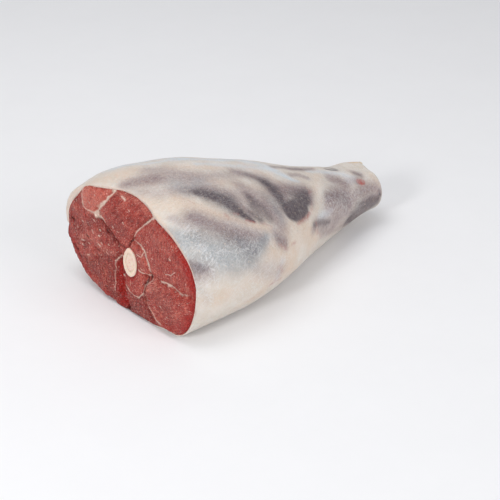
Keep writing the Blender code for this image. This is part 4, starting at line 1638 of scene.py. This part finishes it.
@dataclass
class FellSleeve:
    """The cover of fat and fell round the meat."""

    form: LegForm
    rim: RimShape
    columns: int = 264
    body_rows: int = 290
    end_rows: int = 12
    inner_rows: int = 26
    inner_end_rows: int = 4
    inner_crowd: float = 2.0
    rim_rows: int = 5
    steps_between: int = 4
    stroke_reach: float = 2.5
    wander: tuple[Roughness, ...] = tuple(Roughness(seed, 13.0, 1.3) for seed in (21, 22, 23))
    sunk: float = 0.6
    lifts: tuple[tuple[Paint, float], ...] = (
        (Paint.DARK, -0.7), (Paint.LILAC, -0.2), (Paint.WARM, 0.4), (Paint.PALE, 0.4),
    )
    soft: Roughness = Roughness(11, 26.0, 0.35, 2)
    fine: Roughness = Roughness(11, 3.4, 0.18, 2, (0.35, 1.0, 1.0))
    resting: float = 1.0
    free: float = 7.0
    rounding: float = 0.5
    thinning: float = 5.0
    forward: float = 0.1
    bare_back: float = 6.0
    fray: Roughness = Roughness(11, 9.0, 2.5, 2)
    fray_girth: float = 80.0
    rim_paint: tuple[tuple[Paint, float], ...] = ((Paint.PALE, 0.5), (Paint.WARM, 0.8), (Paint.BLOOD, 0.18))

    def stroke_line(self, stroke: Stroke) -> tuple[Array, Array]:
        """A stroke on the outside, with points close enough together to follow it.

        Args:
            stroke: The stroke.

        Returns:
            Its points, and its half width at each.
        """
        given = np.array(stroke.line, float)
        share = np.linspace(0, len(given) - 1, self.steps_between * (len(given) - 1) + 1)
        x, angle, width = (np.interp(share, np.arange(len(given)), given[:, k]) for k in range(3))
        x, angle = x[None], np.radians(angle[None])
        return self.form.skin(x, angle, np.zeros_like(x), 0.0)[0], width

    def paint(self, points: Array) -> dict[Paint, Array]:
        """Paints the strokes.

        Args:
            points: Points of the outside.

        Returns:
            Each paint's mask at them.
        """
        moved = points + np.stack([noise.at(points) for noise in self.wander], axis=-1)
        bare = {paint: np.ones(points.shape[:-1]) for paint in Paint}
        for stroke in FELL_STROKES:
            line, width = self.stroke_line(stroke)
            reach = self.stroke_reach * width.max()
            near = ((moved > line.min(axis=0) - reach) & (moved < line.max(axis=0) + reach)).all(axis=-1)
            away = distance_to_line(moved[near], line, width)
            bare[stroke.paint][near] *= 1 - stroke.strength * np.exp(-(away ** (2 * stroke.edge)))
        return {paint: 1 - value for paint, value in bare.items()}

    def relief(self, points: Array, masks: dict[Paint, Array]) -> Array:
        """How far the fine surface lies under the plain form.

        Args:
            points: Points of the plain form.
            masks: The paints at them.

        Returns:
            A depth for each point.
        """
        lifted = sum(height * masks[paint] for paint, height in self.lifts)
        depth = self.sunk - lifted - self.soft.at(points) - self.fine.at(points)
        return depth * smooth_step((points[..., 2] - self.resting) / (self.free - self.resting))

    def build(self, material: Material) -> Object:
        """Makes the sleeve: its outside, and back along its inside.

        Args:
            material: The finish.

        Returns:
            The piece.
        """
        form, rim, turn = self.form, self.rim, turns(self.columns)
        frayed = self.bare_back + self.fray.at(np.stack([turn * self.fray_girth] * 3, axis=-1))
        extra = rim.back(turn) + rim.torn(turn) * frayed - self.forward
        x, angle, rolled = form.rows_along(self.columns, self.body_rows, self.end_rows, extra)
        plain = form.skin(x, angle, rolled, 0.0)
        masks = self.paint(plain)
        from_edge = x - x[0]
        thick = rim.fat_depth(x, angle)
        depth = self.relief(plain, masks) + self.rounding * np.exp(-from_edge)
        depth += rim.torn(angle) * thick * np.exp(-from_edge / self.thinning)
        depth = np.clip(depth, 0.0, thick - rim.least_fat) + rim.drawn_in(x, angle)
        outside = form.kept_in(form.skin(x, angle, rolled, depth))
        x, angle, rolled = form.rows_along(
            self.columns, self.inner_rows, self.inner_end_rows, extra, self.inner_crowd
        )
        under = rim.fat_depth(x, angle) + rim.drawn_in(x, angle)
        inside = form.kept_in(form.skin(x, angle, rolled, under, with_cord=False))
        edge = self.across(inside[0], outside[0])
        end = self.across(outside[-1], inside[-1])
        rings = [*outside, *end, *inside[::-1], *edge]
        values = self.spread(masks, len(rings) * self.columns)
        return dress(ring_object("fell_sleeve", rings, values, material), "fat_cover")

    def across(self, one: Array, two: Array) -> list[Array]:
        """Rings across the fat's cut edge, between two rings."""
        return [two + share * (one - two) for share in np.linspace(1, 0, self.rim_rows)[1:-1]]

    def spread(self, masks: dict[Paint, Array], count: int) -> dict[str, Array]:
        """The outside's masks, followed by the paint of the cut edge and the inside.

        Args:
            masks: The paints on the outside.
            count: How many points the sleeve has.

        Returns:
            Values for each point, by the names of their attributes.
        """
        plain = dict(self.rim_paint)
        return {
            paint.value: np.append(mask, np.full(count - mask.size, plain.get(paint, 0.0)))
            for paint, mask in masks.items()
        }


# Lines on the face of the cut


@dataclass(frozen=True)
class Region:
    """One muscle of the cut as it is dressed.

    Its edge is a row of (y, z) corners, tone runs from dark 0 to light 1, pillow is how far its middle
    stands above its seams, grain the turn of its fibres in degrees, and coarse the size of their bundles.
    """

    tone: float
    pillow: float
    grain: float
    coarse: float
    corners: Pairs


REGIONS = (
    # The ragged muscle at the far side, which the others lie on
    Region(0.42, 0.6, 62, 2.3, (
        (75, 84), (72, 76), (69, 71), (63, 71), (56, 72), (53, 73), (38, 66), (26, 59), (11, 56), (11, 48),
        (15, 43), (18, 38), (17, 28), (16, 20), (14, 10), (8, -8), (60, -8), (110, 20), (110, 70), (92, 96)
    )),
    # The light muscle at the top
    Region(0.98, 1.0, 40, 1.0, (
        (75, 84), (72, 76), (69, 71), (63, 71), (56, 72), (53, 73), (50, 80), (43, 86), (39, 94), (32, 110),
        (60, 112), (84, 94)
    )),
    # The round muscle at the top
    Region(0.50, 1.5, -52, 1.2, (
        (32, 110), (39, 94), (43, 86), (50, 80), (52, 73), (38, 66), (26, 59), (11, 56), (4, 60), (2, 64),
        (0, 70), (-4, 76), (-8, 82), (-13, 87), (-24, 98), (-20, 112)
    )),
    # The broad muscle at the near side
    Region(0.56, 1.3, 82, 1.0, (
        (-24, 98), (-13, 87), (-8, 82), (-4, 76), (0, 70), (1, 66), (-3, 67), (-10, 66), (-17, 63),
        (-22, 57), (-26, 50), (-28, 45), (-43, 44), (-49, 46), (-60, 46), (-70, 43), (-77, 45), (-98, 44),
        (-104, 70), (-60, 104)
    )),
    # The small muscle beside the bone
    Region(0.68, 0.9, 60, 0.8, (
        (1, 66), (-3, 67), (-10, 66), (-17, 63), (-22, 57), (-26, 50), (-27, 46), (-24, 41), (-12, 43),
        (-8, 48), (-4, 54), (2, 58)
    )),
    # The tongue under the bone
    Region(0.58, 1.1, 70, 0.8, (
        (8, 32), (6, 27), (3, 24), (-5, 20), (-12, 18), (-18, 19), (-22, 24), (-22, 31), (-24, 39),
        (-12, 43), (-8, 40), (-4, 34), (2, 31)
    )),
    # The lower muscle at the near side
    Region(0.55, 1.8, -24, 1.0, (
        (-30, 46), (-32, 42), (-25, 33), (-23, 29), (-27, 17), (-35, 12), (-46, 0), (-60, -10), (-100, -6),
        (-100, 42), (-77, 45), (-70, 43), (-60, 46), (-49, 46), (-43, 44)
    )),
    # The strip between the tongue and the floor
    Region(0.24, 0.9, 50, 1.1, (
        (3, 24), (-5, 20), (-12, 18), (-18, 19), (-22, 24), (-24, 28), (-27, 17), (-35, 12), (-46, 0),
        (-50, -8), (-6, -8), (-3, 8), (1, 15)
    )),
    # The open fold
    Region(0.20, 0.2, 78, 1.2, (
        (14, 44), (18, 38), (17, 28), (16, 20), (14, 10), (8, -8), (-6, -8), (-3, 8), (1, 15), (6, 26),
        (9, 34), (10, 42)
    )),
)


@dataclass(frozen=True)
class CutLine:
    """A line on the face of the cut: what it paints, half width, strength and (y, z) points."""

    paint: CutPaint
    width: float
    strength: float
    line: Pairs


def cut_line(paint: CutPaint, width: float, strength: float, *line: tuple[float, float]) -> CutLine:
    """A line on the face of the cut, with its points as single arguments."""
    return CutLine(paint, width, strength, line)


# The fourth kind of line paints a pink film and painted highlights on ridges and edges.
seam, gap, bright, veil_and_highlight, shade = (partial(cut_line, paint) for paint in CutPaint)

# The dark cleft lines paint shade into the clefts and pits of the cut.
CUT_LINES = (
    # The thick fat seam at the top, and the thin cleft, darkened with painted shade, that goes on from it to
    # the bone
    seam(1.55, 1.0, (33, 106), (37, 96), (42, 88), (47, 82)),
    seam(2.2, 1.0, (47, 82), (50, 77), (52, 73), (51, 71)),
    gap(0.8, 0.40, (49, 70), (38, 66), (31, 62), (26, 59), (17, 56), (10, 56)),
    seam(0.8, 0.70, (51, 72), (44, 70), (38, 67)),
    seam(0.8, 0.60, (76, 88), (73, 80), (71, 73), (64, 72), (52, 73)),
    seam(0.8, 0.85, (24, 98), (22, 97), (19, 96)),
    # The grey seam from the top edge to the bone, with painted shade in the clefts beside it
    seam(1.1, 1.0, (-26, 100), (-20, 93), (-14, 87)),
    seam(0.9, 1.0, (-14, 87), (-9, 82), (-4, 76), (-1, 70)),
    gap(0.6, 0.5, (-17, 91), (-10, 85)),
    gap(0.7, 0.7, (0, 68), (2, 64), (4, 59)),
    # The small muscle beside the bone
    seam(0.55, 0.8, (1, 66), (-3, 67), (-10, 66), (-17, 63), (-22, 57), (-26, 50), (-27, 46)),
    seam(0.5, 0.6, (-9, 57), (-16, 57), (-17, 64)),
    seam(0.6, 0.7, (-12, 43), (-18, 42), (-27, 43)),
    seam(0.4, 0.5, (-13, 52), (-15, 51)),
    seam(0.5, 0.6, (-24, 55), (-27, 48)),
    # The tongue under the bone
    seam(0.5, 0.75, (8, 30), (3, 24), (-5, 20), (-12, 18), (-18, 19), (-22, 24)),
    seam(0.4, 0.45, (-22, 24), (-22, 31), (-24, 39)),
    seam(0.4, 0.4, (-4, 30), (-6, 26)),
    # The open clefts, darkened with painted shade
    gap(1.7, 1.0, (-29, 46), (-30, 43)),
    gap(1.5, 0.9, (-26, 40), (-23, 34)),
    bright(6.2, 1.0, (14, 39), (14, 33), (12, 25), (8, 16), (2, 5)),
    bright(2.4, 1.0, (14, 30), (12, 20), (8, 12)),
    gap(2.2, 0.95, (1, 11), (-2, 6), (-5, 0)),
    gap(1.1, 0.60, (8, 36), (6, 27), (3, 20), (0, 13)),
    seam(0.7, 0.9, (10, 47), (17, 44), (20, 39)),
    seam(0.35, 0.65, (20, 39), (20, 30), (18, 22), (15, 12)),
    veil_and_highlight(1.0, 0.8, (1, 11), (-4, 13)),
    bright(1.9, 0.85, (-2, 58), (-8, 53), (-11, 46), (-11, 39), (-7, 32), (0, 29)),
    gap(0.6, 0.55, (-7, 53), (-9.5, 46), (-9.5, 39), (-6, 33)),
    # The lower muscle at the near side
    seam(0.5, 0.45, (-31, 45), (-33, 42), (-25, 33), (-27, 27), (-30, 20), (-37, 15), (-48, 9), (-53, 4)),
    shade(2.4, 0.7, (-22, 30), (-25, 22), (-30, 14), (-40, 6)),
    # Painted highlights on the lower muscle's ridges
    veil_and_highlight(3.6, 0.75, (-33, 42), (-36, 39), (-28, 32)),
    veil_and_highlight(4.0, 0.18, (-38, 36), (-52, 32), (-66, 26)),
    seam(0.9, 0.95, (-43, 44), (-49, 46), (-55, 46), (-60, 46)),
    seam(0.6, 0.7, (-60, 46), (-65, 45), (-70, 43), (-77, 45)),
    seam(0.5, 0.5, (-42, 11), (-52, 8)),
    seam(0.4, 0.6, (-50, 55), (-56, 56), (-61, 61)),
    seam(0.4, 0.5, (-56, 56), (-57, 52)),
    # Bright red along the near edge and the floor
    bright(2.2, 0.7, (-23, 97), (-39, 91), (-55, 85), (-67, 78)),
    bright(5.2, 1.0, (-66, 78), (-75, 69), (-82, 60), (-86, 48), (-88, 32), (-84, 18)),
    bright(4.0, 0.55, (-80, 16), (-60, 6), (-40, 3)),
    bright(2.6, 0.7, (20, 3), (40, 5), (60, 16), (76, 30), (86, 42)),
    # Painted highlights and darker places of the light muscle and the round one
    veil_and_highlight(6.0, 0.55, (72, 90), (70, 80)),
    veil_and_highlight(2.5, 0.4, (58, 75), (52, 84), (46, 92)),
    veil_and_highlight(2.4, 0.5, (36, 98), (22, 99), (6, 100), (-8, 97)),
    veil_and_highlight(3.6, 0.6, (78, 88), (62, 97), (44, 102), (26, 103), (6, 102), (-16, 99)),
    veil_and_highlight(5.0, 0.4, (66, 88), (56, 88)),
    veil_and_highlight(2.2, 0.4, (44, 78), (40, 74)),
    shade(6.0, 0.5, (26, 84), (16, 78), (12, 70)),
    shade(3.0, 0.55, (6, 84), (2, 80)),
    shade(3.0, 0.5, (16, 66), (22, 70)),
    veil_and_highlight(4.0, 0.35, (-20, 84), (-32, 80), (-46, 76)),
    veil_and_highlight(3.0, 0.3, (-14, 58), (-20, 50), (-14, 46)),
    # Pits darkened with painted shade, ridges lightened with painted highlights, and white scraps of the
    # ragged muscle
    veil_and_highlight(3.4, 0.65, (68, 44), (58, 50), (46, 46), (34, 44), (22, 46)),
    veil_and_highlight(2.4, 0.5, (50, 58), (44, 52), (40, 47)),
    veil_and_highlight(2.6, 0.4, (84, 70), (74, 62), (66, 58)),
    veil_and_highlight(2.4, 0.4, (60, 30), (50, 34), (40, 38)),
    shade(7.0, 0.75, (20, 40), (24, 28), (22, 12)),
    shade(7.0, 0.75, (36, 34), (42, 26), (50, 18), (58, 22)),
    shade(5.0, 0.6, (84, 60), (76, 50), (66, 56)),
    shade(4.0, 0.6, (44, 64), (34, 58), (22, 54)),
    shade(4.0, 0.5, (62, 66), (52, 64)),
    gap(1.0, 0.85, (61, 49), (58, 48)),
    gap(1.1, 0.75, (78, 33), (73, 30), (68, 25)),
    gap(0.9, 0.8, (86, 56), (82, 56)),
    gap(1.0, 0.65, (36, 62), (31, 60)),
    gap(0.9, 0.5, (48, 42), (42, 40)),
    seam(0.6, 0.65, (67, 42), (64, 42)),
    seam(0.6, 0.65, (43, 47), (40, 46)),
    seam(0.6, 0.55, (57, 31), (55, 32)),
    seam(0.6, 0.6, (54, 56), (51, 54)),
    shade(6.0, 0.6, (0, 8), (-20, 6), (-36, 6)),
    # Folds of the ragged muscle's lower part, with painted highlights on their ridges and painted shade
    # between them
    veil_and_highlight(2.0, 0.45, (55, 27), (54, 17), (48, 10)),
    veil_and_highlight(1.8, 0.28, (38, 34), (34, 24), (30, 14)),
    shade(2.4, 0.60, (48, 29), (43, 20), (38, 10)),
    shade(2.0, 0.50, (30, 33), (28, 21), (25, 11)),
    shade(3.0, 0.45, (72, 62), (68, 50), (72, 38)),
    bright(1.8, 0.60, (91, 44), (89, 38), (86, 32)),
    shade(10.0, 0.48, (-44, 32), (-56, 26)),
    shade(5.0, 0.35, (34, 23), (30, 14)),
    # Edges that catch the light
    veil_and_highlight(3.4, 0.70, (72, 86), (69, 74), (62, 71), (54, 73)),
    veil_and_highlight(1.4, 0.60, (-78, 53), (-83, 48), (-85, 42)),
    veil_and_highlight(1.3, 0.60, (-25, 24), (-32, 17), (-47, 10), (-53, 7)),
) + tuple(
    # Small white scraps
    seam(0.45, 0.75, (y, z), (y - 1.6, z - 0.8))
    for y, z in (
        (59, 49), (57, 43), (44, 60), (31, 51), (32, 43), (24, 61), (44, 55), (40, 49), (13, 79), (10, 91),
        (37, 99), (-7, 100), (26, 70), (20, 68), (-16, 46), (-7, 55), (-48, 24), (-40, 20), (-58, 18),
        (-30, 62), (-52, 70), (66, 38), (76, 52), (70, 60), (54, 66), (62, 80), (56, 90),
    )
)


@dataclass
class CutMeat:
    """The meat, with the face of the cut in full and its hidden outside in few faces."""

    form: LegForm
    rim: RimShape
    columns: int = 560
    face_rows: int = 138
    outer_rows: int = 36
    outer_end_rows: int = 4
    outer_crowd: float = 2.2
    shank_rows: int = 4
    gap: float = 0.1
    bone_gap: float = 0.3
    wander: tuple[Roughness, ...] = (Roughness(33, 5.0, 0.55), Roughness(34, 5.0, 0.55))
    width_wobble: Roughness = Roughness(31, 4.5, 0.9, 2)
    width_middle: float = 1.05
    width_least: float = 0.55
    width_most: float = 1.8
    plain_tone: float = 0.45
    seam_soft: float = 3.6
    bundle_size: float = 2.6
    bundle_length: float = 6.0
    bundle_height: float = 0.38
    bundle_tone: float = 0.10
    region_shift: float = 90.0
    bend_from: float = 0.35
    lumps: Roughness = Roughness(31, 11.0, 0.75, 4)
    torn_lumps: Roughness = Roughness(31, 8.0, 1.6, 3, shift=50.0)
    lifts: tuple[tuple[CutPaint, float], ...] = (
        (CutPaint.SEAM, 0.4), (CutPaint.GAP, -1.6), (CutPaint.VEIL, 0.7), (CutPaint.SHADE, -0.7),
    )
    deepest: float = -6.0
    highest: float = 4.5
    calm_inner: float = 0.08
    calm_outer: float = 0.05
    rounding: float = 0.5
    rounding_power: int = 40

    def paint(self, spots: Array) -> dict[CutPaint, Array]:
        """Paints the lines.

        Args:
            spots: (y, z) places on the face of the cut.

        Returns:
            Each paint's mask at them.
        """
        bare = {paint: np.ones(spots.shape[:-1]) for paint in CutPaint}
        flat = np.concatenate([spots, np.zeros((*spots.shape[:-1], 1))], axis=-1)
        wide = np.clip(self.width_middle + self.width_wobble.at(flat), self.width_least, self.width_most)
        for line in CUT_LINES:
            away = distance_to_line(spots, np.array(line.line, float)) / (line.width * wide)
            bare[line.paint] *= 1 - line.strength * np.exp(-(away**3))
        return {paint: 1 - value for paint, value in bare.items()}

    def muscles(self, spots: Array) -> dict[str, Array]:
        """Dresses each muscle.

        Args:
            spots: (y, z) places on the face of the cut.

        Returns:
            Tone, height and the fibres' own axes, at each place.
        """
        shape = spots.shape[:-1]
        y, z = spots[..., 0], spots[..., 1]
        found = {name: np.zeros(shape) for name in ("muscle_tone", "height", "along_grain", "across_grain")}
        found["muscle_tone"] += self.plain_tone
        for region in REGIONS:
            corners = np.array(region.corners, float)
            inside = inside_corners(spots, corners)
            edge = distance_to_line(spots, np.vstack([corners, corners[:1]]))
            turn = math.radians(region.grain)
            along = y * math.cos(turn) + z * math.sin(turn)
            across = z * math.cos(turn) - y * math.sin(turn)
            apart_from_others = np.full(shape, region.tone * self.region_shift)
            strands = np.stack([along / self.bundle_length, across, apart_from_others], axis=-1)
            bundles = Roughness(self.lumps.seed, self.bundle_size * region.coarse).at(strands)
            pillow = region.pillow * (1 - np.exp(-edge / self.seam_soft))
            height = pillow + self.bundle_height * region.coarse * bundles
            tone = region.tone + self.bundle_tone * bundles
            for name, value in zip(found, (tone, height, along * MM, across * MM)):
                found[name] = np.where(inside, value, found[name])
        return found

    def face(self, hole: Array, edge: Array) -> tuple[Array, dict[str, Array]]:
        """The face of the cut.

        Args:
            hole: The ring round the bone.
            edge: The ring at the meat's edge.

        Returns:
            Its rings from the bone outwards, and what its material reads at their points.
        """
        share = np.linspace(0, 1, self.face_rows + 1)[:, None]
        spots = hole[:, 1:] + share[..., None] * (edge - hole)[:, 1:]
        y, z = spots[..., 0], spots[..., 1]
        face = self.form.slanted(self.form.cut_x, y, z)
        beyond = edge[:, 0] - face[-1, :, 0]
        face[..., 0] += beyond * smooth_step((share - self.bend_from) / (1 - self.bend_from)) * share**2
        flat = np.stack([y, z, np.zeros_like(y)], axis=-1)
        moved = spots + np.stack([noise.at(flat) for noise in self.wander], axis=-1)
        masks, flesh = self.paint(moved), self.muscles(moved)
        relief = self.form.cut_relief(y, z) + flesh.pop("height") + self.lumps.at(flat)
        relief += self.rim.torn(turns(self.columns)) * self.torn_lumps.at(flat)
        relief += sum(height * masks[paint] for paint, height in self.lifts)
        calm = smooth_step(share / self.calm_inner) * smooth_step((1 - share) / self.calm_outer)
        face[..., 0] -= np.clip(relief, self.deepest, self.highest) * calm
        face[..., 0] += self.rounding * share**self.rounding_power
        return self.form.kept_in(face), {paint.value: mask for paint, mask in masks.items()} | flesh

    def build(self, material: Material) -> Object:
        """Makes the meat: the face from the bone outwards, the outside, the shank's face and the channel.

        Args:
            material: The finish.

        Returns:
            The piece.
        """
        form, turn = self.form, turns(self.columns)
        x, angle, rolled = form.rows_along(
            self.columns,
            self.outer_rows,
            self.outer_end_rows,
            self.rim.back(turn) - form.edge_back(turn),
            self.outer_crowd,
        )
        inset = self.rim.meat_depth(x, angle, self.gap)
        outside = form.kept_in(form.skin(x, angle, rolled, inset, with_cord=False))
        face, values = self.face(form.bone_ring(form.cut_x, turn, self.bone_gap), outside[0])
        last = outside[-1]
        end_hole = form.bone_ring(form.end_x, turn, self.bone_gap)
        end_hole[:, 0] = last[:, 0].mean()
        shank = [last + share * (end_hole - last) for share in np.linspace(0, 1, self.shank_rows)[1:]]
        channel = [form.bone_ring(ring.x, turn, self.bone_gap) for ring in form.bone[-2:0:-1]]
        rings = [*face[:-1], *outside, *shank, *channel]
        values = self.spread(values, len(rings) * self.columns)
        return dress(ring_object("cut_meat", rings, values, material), "lean_meat")

    def spread(self, masks: dict[str, Array], count: int) -> dict[str, Array]:
        """The face's values, and those of its last ring again for every other ring.

        Args:
            masks: Values on the face of the cut.
            count: How many points the meat has.

        Returns:
            Values for each point.
        """
        rings = math.ceil(count / self.columns)
        return {name: np.append(mask, np.tile(mask[-1], rings))[:count] for name, mask in masks.items()}


@dataclass
class ThighBone:
    """The bone through the leg: sawn at the cut, with a rounded knuckle at the shank."""

    form: LegForm
    columns: int = 96
    proud: float = 0.8
    bevel: float = 0.35
    bevel_share: float = 0.06
    face_rows: int = 7
    saw: Roughness = Roughness(41, 1.6, 0.10, 2)
    knuckle: float = 6.5
    knuckle_rows: int = 9
    marrow_share: float = 0.62
    marrow_depth: float = 90.0
    marrow_gap: float = 0.3

    def hollow_ring(self, x: float, grow: float) -> Array:
        """A ring of the marrow's hollow, a scaled copy of the bone's.

        Args:
            x: Place along the leg.
            grow: How much wider the ring is than the marrow.

        Returns:
            The ring's points.
        """
        turn = turns(self.columns)
        _, y, z = self.form.bone_ring(x, turn, 0.0).T
        y = y.mean() + (y - y.mean()) * self.marrow_share + grow * np.cos(turn)
        z = z.mean() + (z - z.mean()) * self.marrow_share + grow * np.sin(turn)
        return self.form.slanted(x, y, z)

    def build(self, material: Material) -> Object:
        """Makes the bone.

        Args:
            material: The finish.

        Returns:
            The piece.
        """
        form = self.form
        length = [form.bone_ring(ring.x, turns(self.columns), 0.0) for ring in form.bone]
        mouth = self.hollow_ring(form.cut_x, self.marrow_gap)
        outer = length[0] + (mouth - length[0]) * self.bevel_share
        face = []
        for share in np.linspace(0, 1, self.face_rows):
            ring = mouth + share * (outer - mouth)
            ring[:, 0] -= self.proud - self.saw.at(ring)
            face.append(ring)
        edge = length[0] - (self.proud - self.bevel, 0, 0)
        last = form.bone[-1]
        middle = np.array([0.0, last.y, last.z])
        straight = form.end_depth - self.knuckle
        knuckle = []
        for roll in np.linspace(0, math.pi / 2, self.knuckle_rows)[:-1]:
            ring = middle + (length[-1] - middle) * (1, math.cos(roll), math.cos(roll))
            knuckle.append(ring + (straight + self.knuckle * math.sin(roll), 0, 0))
        tip = np.array([(form.end_x + form.end_depth, last.y, last.z)])
        bottom = self.hollow_ring(form.cut_x + self.marrow_depth, self.marrow_gap)
        rings = [bottom.mean(axis=0)[None], bottom, *face, edge, *length[1:-1], *knuckle, tip]
        return dress(ring_object("thigh_bone", rings, {}, material), "leg_bone")


@dataclass
class Marrow:
    """The marrow, a rod a little shorter than its hollow, with a low dome at the cut."""

    bone: ThighBone
    short: float = 1.0
    mouth_grow: float = 0.15
    proud: float = 0.35
    dome: float = 0.45
    dome_rows: int = 9
    lumps: Roughness = Roughness(41, 2.2, 0.16, 3)

    def build(self, material: Material) -> Object:
        """Makes the marrow.

        Args:
            material: The finish.

        Returns:
            The piece.
        """
        cut_x = self.bone.form.cut_x
        front = self.bone.hollow_ring(cut_x, self.mouth_grow)
        middle = front.mean(axis=0)
        dome = []
        for share in np.linspace(0, 1, self.dome_rows)[1:]:
            ring = middle + (front - middle) * share
            ring[:, 0] -= self.proud + self.dome * math.cos(share * math.pi / 2) - self.lumps.at(ring)
            dome.append(ring)
        tip = (middle - (self.proud + self.dome, 0, 0))[None]
        back = self.bone.hollow_ring(cut_x + self.bone.marrow_depth - self.short, 0.0)
        rings = [tip, *dome, back, back.mean(axis=0)[None]]
        return dress(ring_object("marrow", rings, {}, material), "bone_marrow")


@dataclass
class HeelStub:
    """The stub of the heel tendon at the end of its ridge."""

    form: LegForm
    start: Triple = (107.0, 19.0, 52.8)
    end: Triple = (132.0, 17.2, 48.6)
    wide: float = 4.4
    high: float = 3.4
    slimmer_ends: float = 0.14
    blunt: int = 9
    least_size: float = 0.02
    tip_share: float = 0.02
    shrink: float = 0.5
    columns: int = 48
    rows: int = 30
    lumps: Roughness = Roughness(51, 3.5, layers=2)

    def build(self, material: Material) -> Object:
        """Makes the stub.

        Args:
            material: The finish.

        Returns:
            The piece.
        """
        start, end = np.array(self.start), np.array(self.end)
        way = end - start
        along = way / np.linalg.norm(way)
        out = np.array([0.0, math.cos(self.form.cord_angle), math.sin(self.form.cord_angle)])
        out -= out.dot(along) * along
        out /= np.linalg.norm(out)
        side = np.cross(out, along)
        turn = turns(self.columns)
        across = np.outer(np.cos(turn), side) * self.wide + np.outer(np.sin(turn), out) * self.high
        rings = [start[None]]
        for share in np.linspace(0, 1, self.rows):
            size = 1 - self.slimmer_ends + self.slimmer_ends * math.sin(share * math.pi)
            size *= math.sqrt(max(1 - share**self.blunt, self.least_size))
            ring = start + way * (self.tip_share + (1 - 2 * self.tip_share) * share) + across * size
            ring -= self.shrink * across / self.wide * (1 + self.lumps.at(ring))[:, None]
            rings.append(ring)
        rings.append((start + way * (1 - self.tip_share / 2))[None])
        return dress(ring_object("heel_stub", rings, {}, material), "heel_tendon")


@dataclass(frozen=True)
class SoftBox:
    """A square area light: where it stands, what it points at, the length of its side and its watts."""

    name: str
    place: Triple
    aim: Triple
    size: float
    power: float

    def build(self) -> None:
        """Makes the light."""
        light = bpy.data.lights.new(self.name, "AREA")
        light.size = self.size
        light.energy = self.power
        made = bpy.data.objects.new(self.name, light)
        made.location = self.place
        made.rotation_euler = (Vector(self.aim) - Vector(self.place)).to_track_quat("-Z", "Y").to_euler()
        bpy.context.scene.collection.objects.link(made)


@dataclass
class Studio:
    """Floor, lights, background and camera, with places in metres."""

    camera_place: Triple = (-0.7593, -0.9412, 0.6805)
    camera_turn: float = math.radians(38.0)
    camera_down: float = math.radians(29.257)
    focal_pixels: float = 1449.35
    picture_pixels: float = 500.0
    sensor: float = 36.0
    floor_size: float = 12.0
    boxes: tuple[SoftBox, ...] = (
        SoftBox("overhead", (-0.25, 0.35, 1.5), (0.0, 0.0, 0.05), 1.0, 8.0),
        SoftBox("left_key", (-1.6, -0.5, 0.9), (-0.1, 0.0, 0.05), 0.4, 12.0),
        SoftBox("front_fill", (0.5, -1.7, 0.8), (0.0, 0.0, 0.05), 1.2, 11.5),
    )
    sky: Colour = linear(250, 251, 255)
    sky_strength: float = 0.46

    def build(self, effects: Effects) -> None:
        """Makes the whole studio.

        Args:
            effects: The shared node groups.
        """
        self.make_floor(FloorFinish().build(effects))
        for box in self.boxes:
            box.build()
        self.make_background()
        self.make_camera()

    def make_floor(self, material: Material) -> None:
        """Makes a wide floor under the leg.

        Args:
            material: The finish.
        """
        half = self.floor_size / 2
        mesh = bpy.data.meshes.new("studio_floor")
        corners = [(-half, -half, 0.0), (half, -half, 0.0), (half, half, 0.0), (-half, half, 0.0)]
        mesh.from_pydata(corners, [], [(0, 1, 2, 3)])
        mesh.materials.append(material)
        floor = bpy.data.objects.new("studio_floor", mesh)
        bpy.context.scene.collection.objects.link(floor)

    def make_background(self) -> None:
        """Even pale light all round."""
        world = bpy.data.worlds.new("studio")
        world.use_nodes = True
        background = world.node_tree.nodes["Background"]
        background.inputs["Color"].default_value = self.sky
        background.inputs["Strength"].default_value = self.sky_strength
        bpy.context.scene.world = world
        bpy.context.scene.view_settings.view_transform = "Standard"

    def make_camera(self) -> None:
        """The camera, at the angle and distance worked out for the photograph."""
        data = bpy.data.cameras.new("camera")
        data.sensor_width = self.sensor
        data.lens = self.sensor * self.focal_pixels / self.picture_pixels
        camera = bpy.data.objects.new("camera", data)
        level = Vector((math.sin(self.camera_turn), math.cos(self.camera_turn), 0.0))
        ahead = level * math.cos(self.camera_down) + Vector((0, 0, -math.sin(self.camera_down)))
        right = Vector((math.cos(self.camera_turn), -math.sin(self.camera_turn), 0.0))
        turn = Matrix((right, right.cross(ahead), -ahead)).transposed().to_4x4()
        camera.matrix_world = Matrix.Translation(Vector(self.camera_place) + Vector(FORM.shift() * MM)) @ turn
        bpy.context.scene.collection.objects.link(camera)
        bpy.context.scene.camera = camera


def main() -> None:
    """Builds every piece of the leg, and the studio."""
    logging.basicConfig(level=logging.INFO, format="%(name)s: %(message)s")
    effects = Effects()
    Studio().build(effects)
    bone = ThighBone(FORM)
    FellSleeve(FORM, RIM).build(FellFinish().build(effects))
    CutMeat(FORM, RIM).build(LeanFinish().build(effects))
    bone.build(BoneFinish().build(effects))
    Marrow(bone).build(MarrowFinish().build(effects))
    HeelStub(FORM).build(TendonFinish().build(effects))


if __name__ == "__main__":
    main()
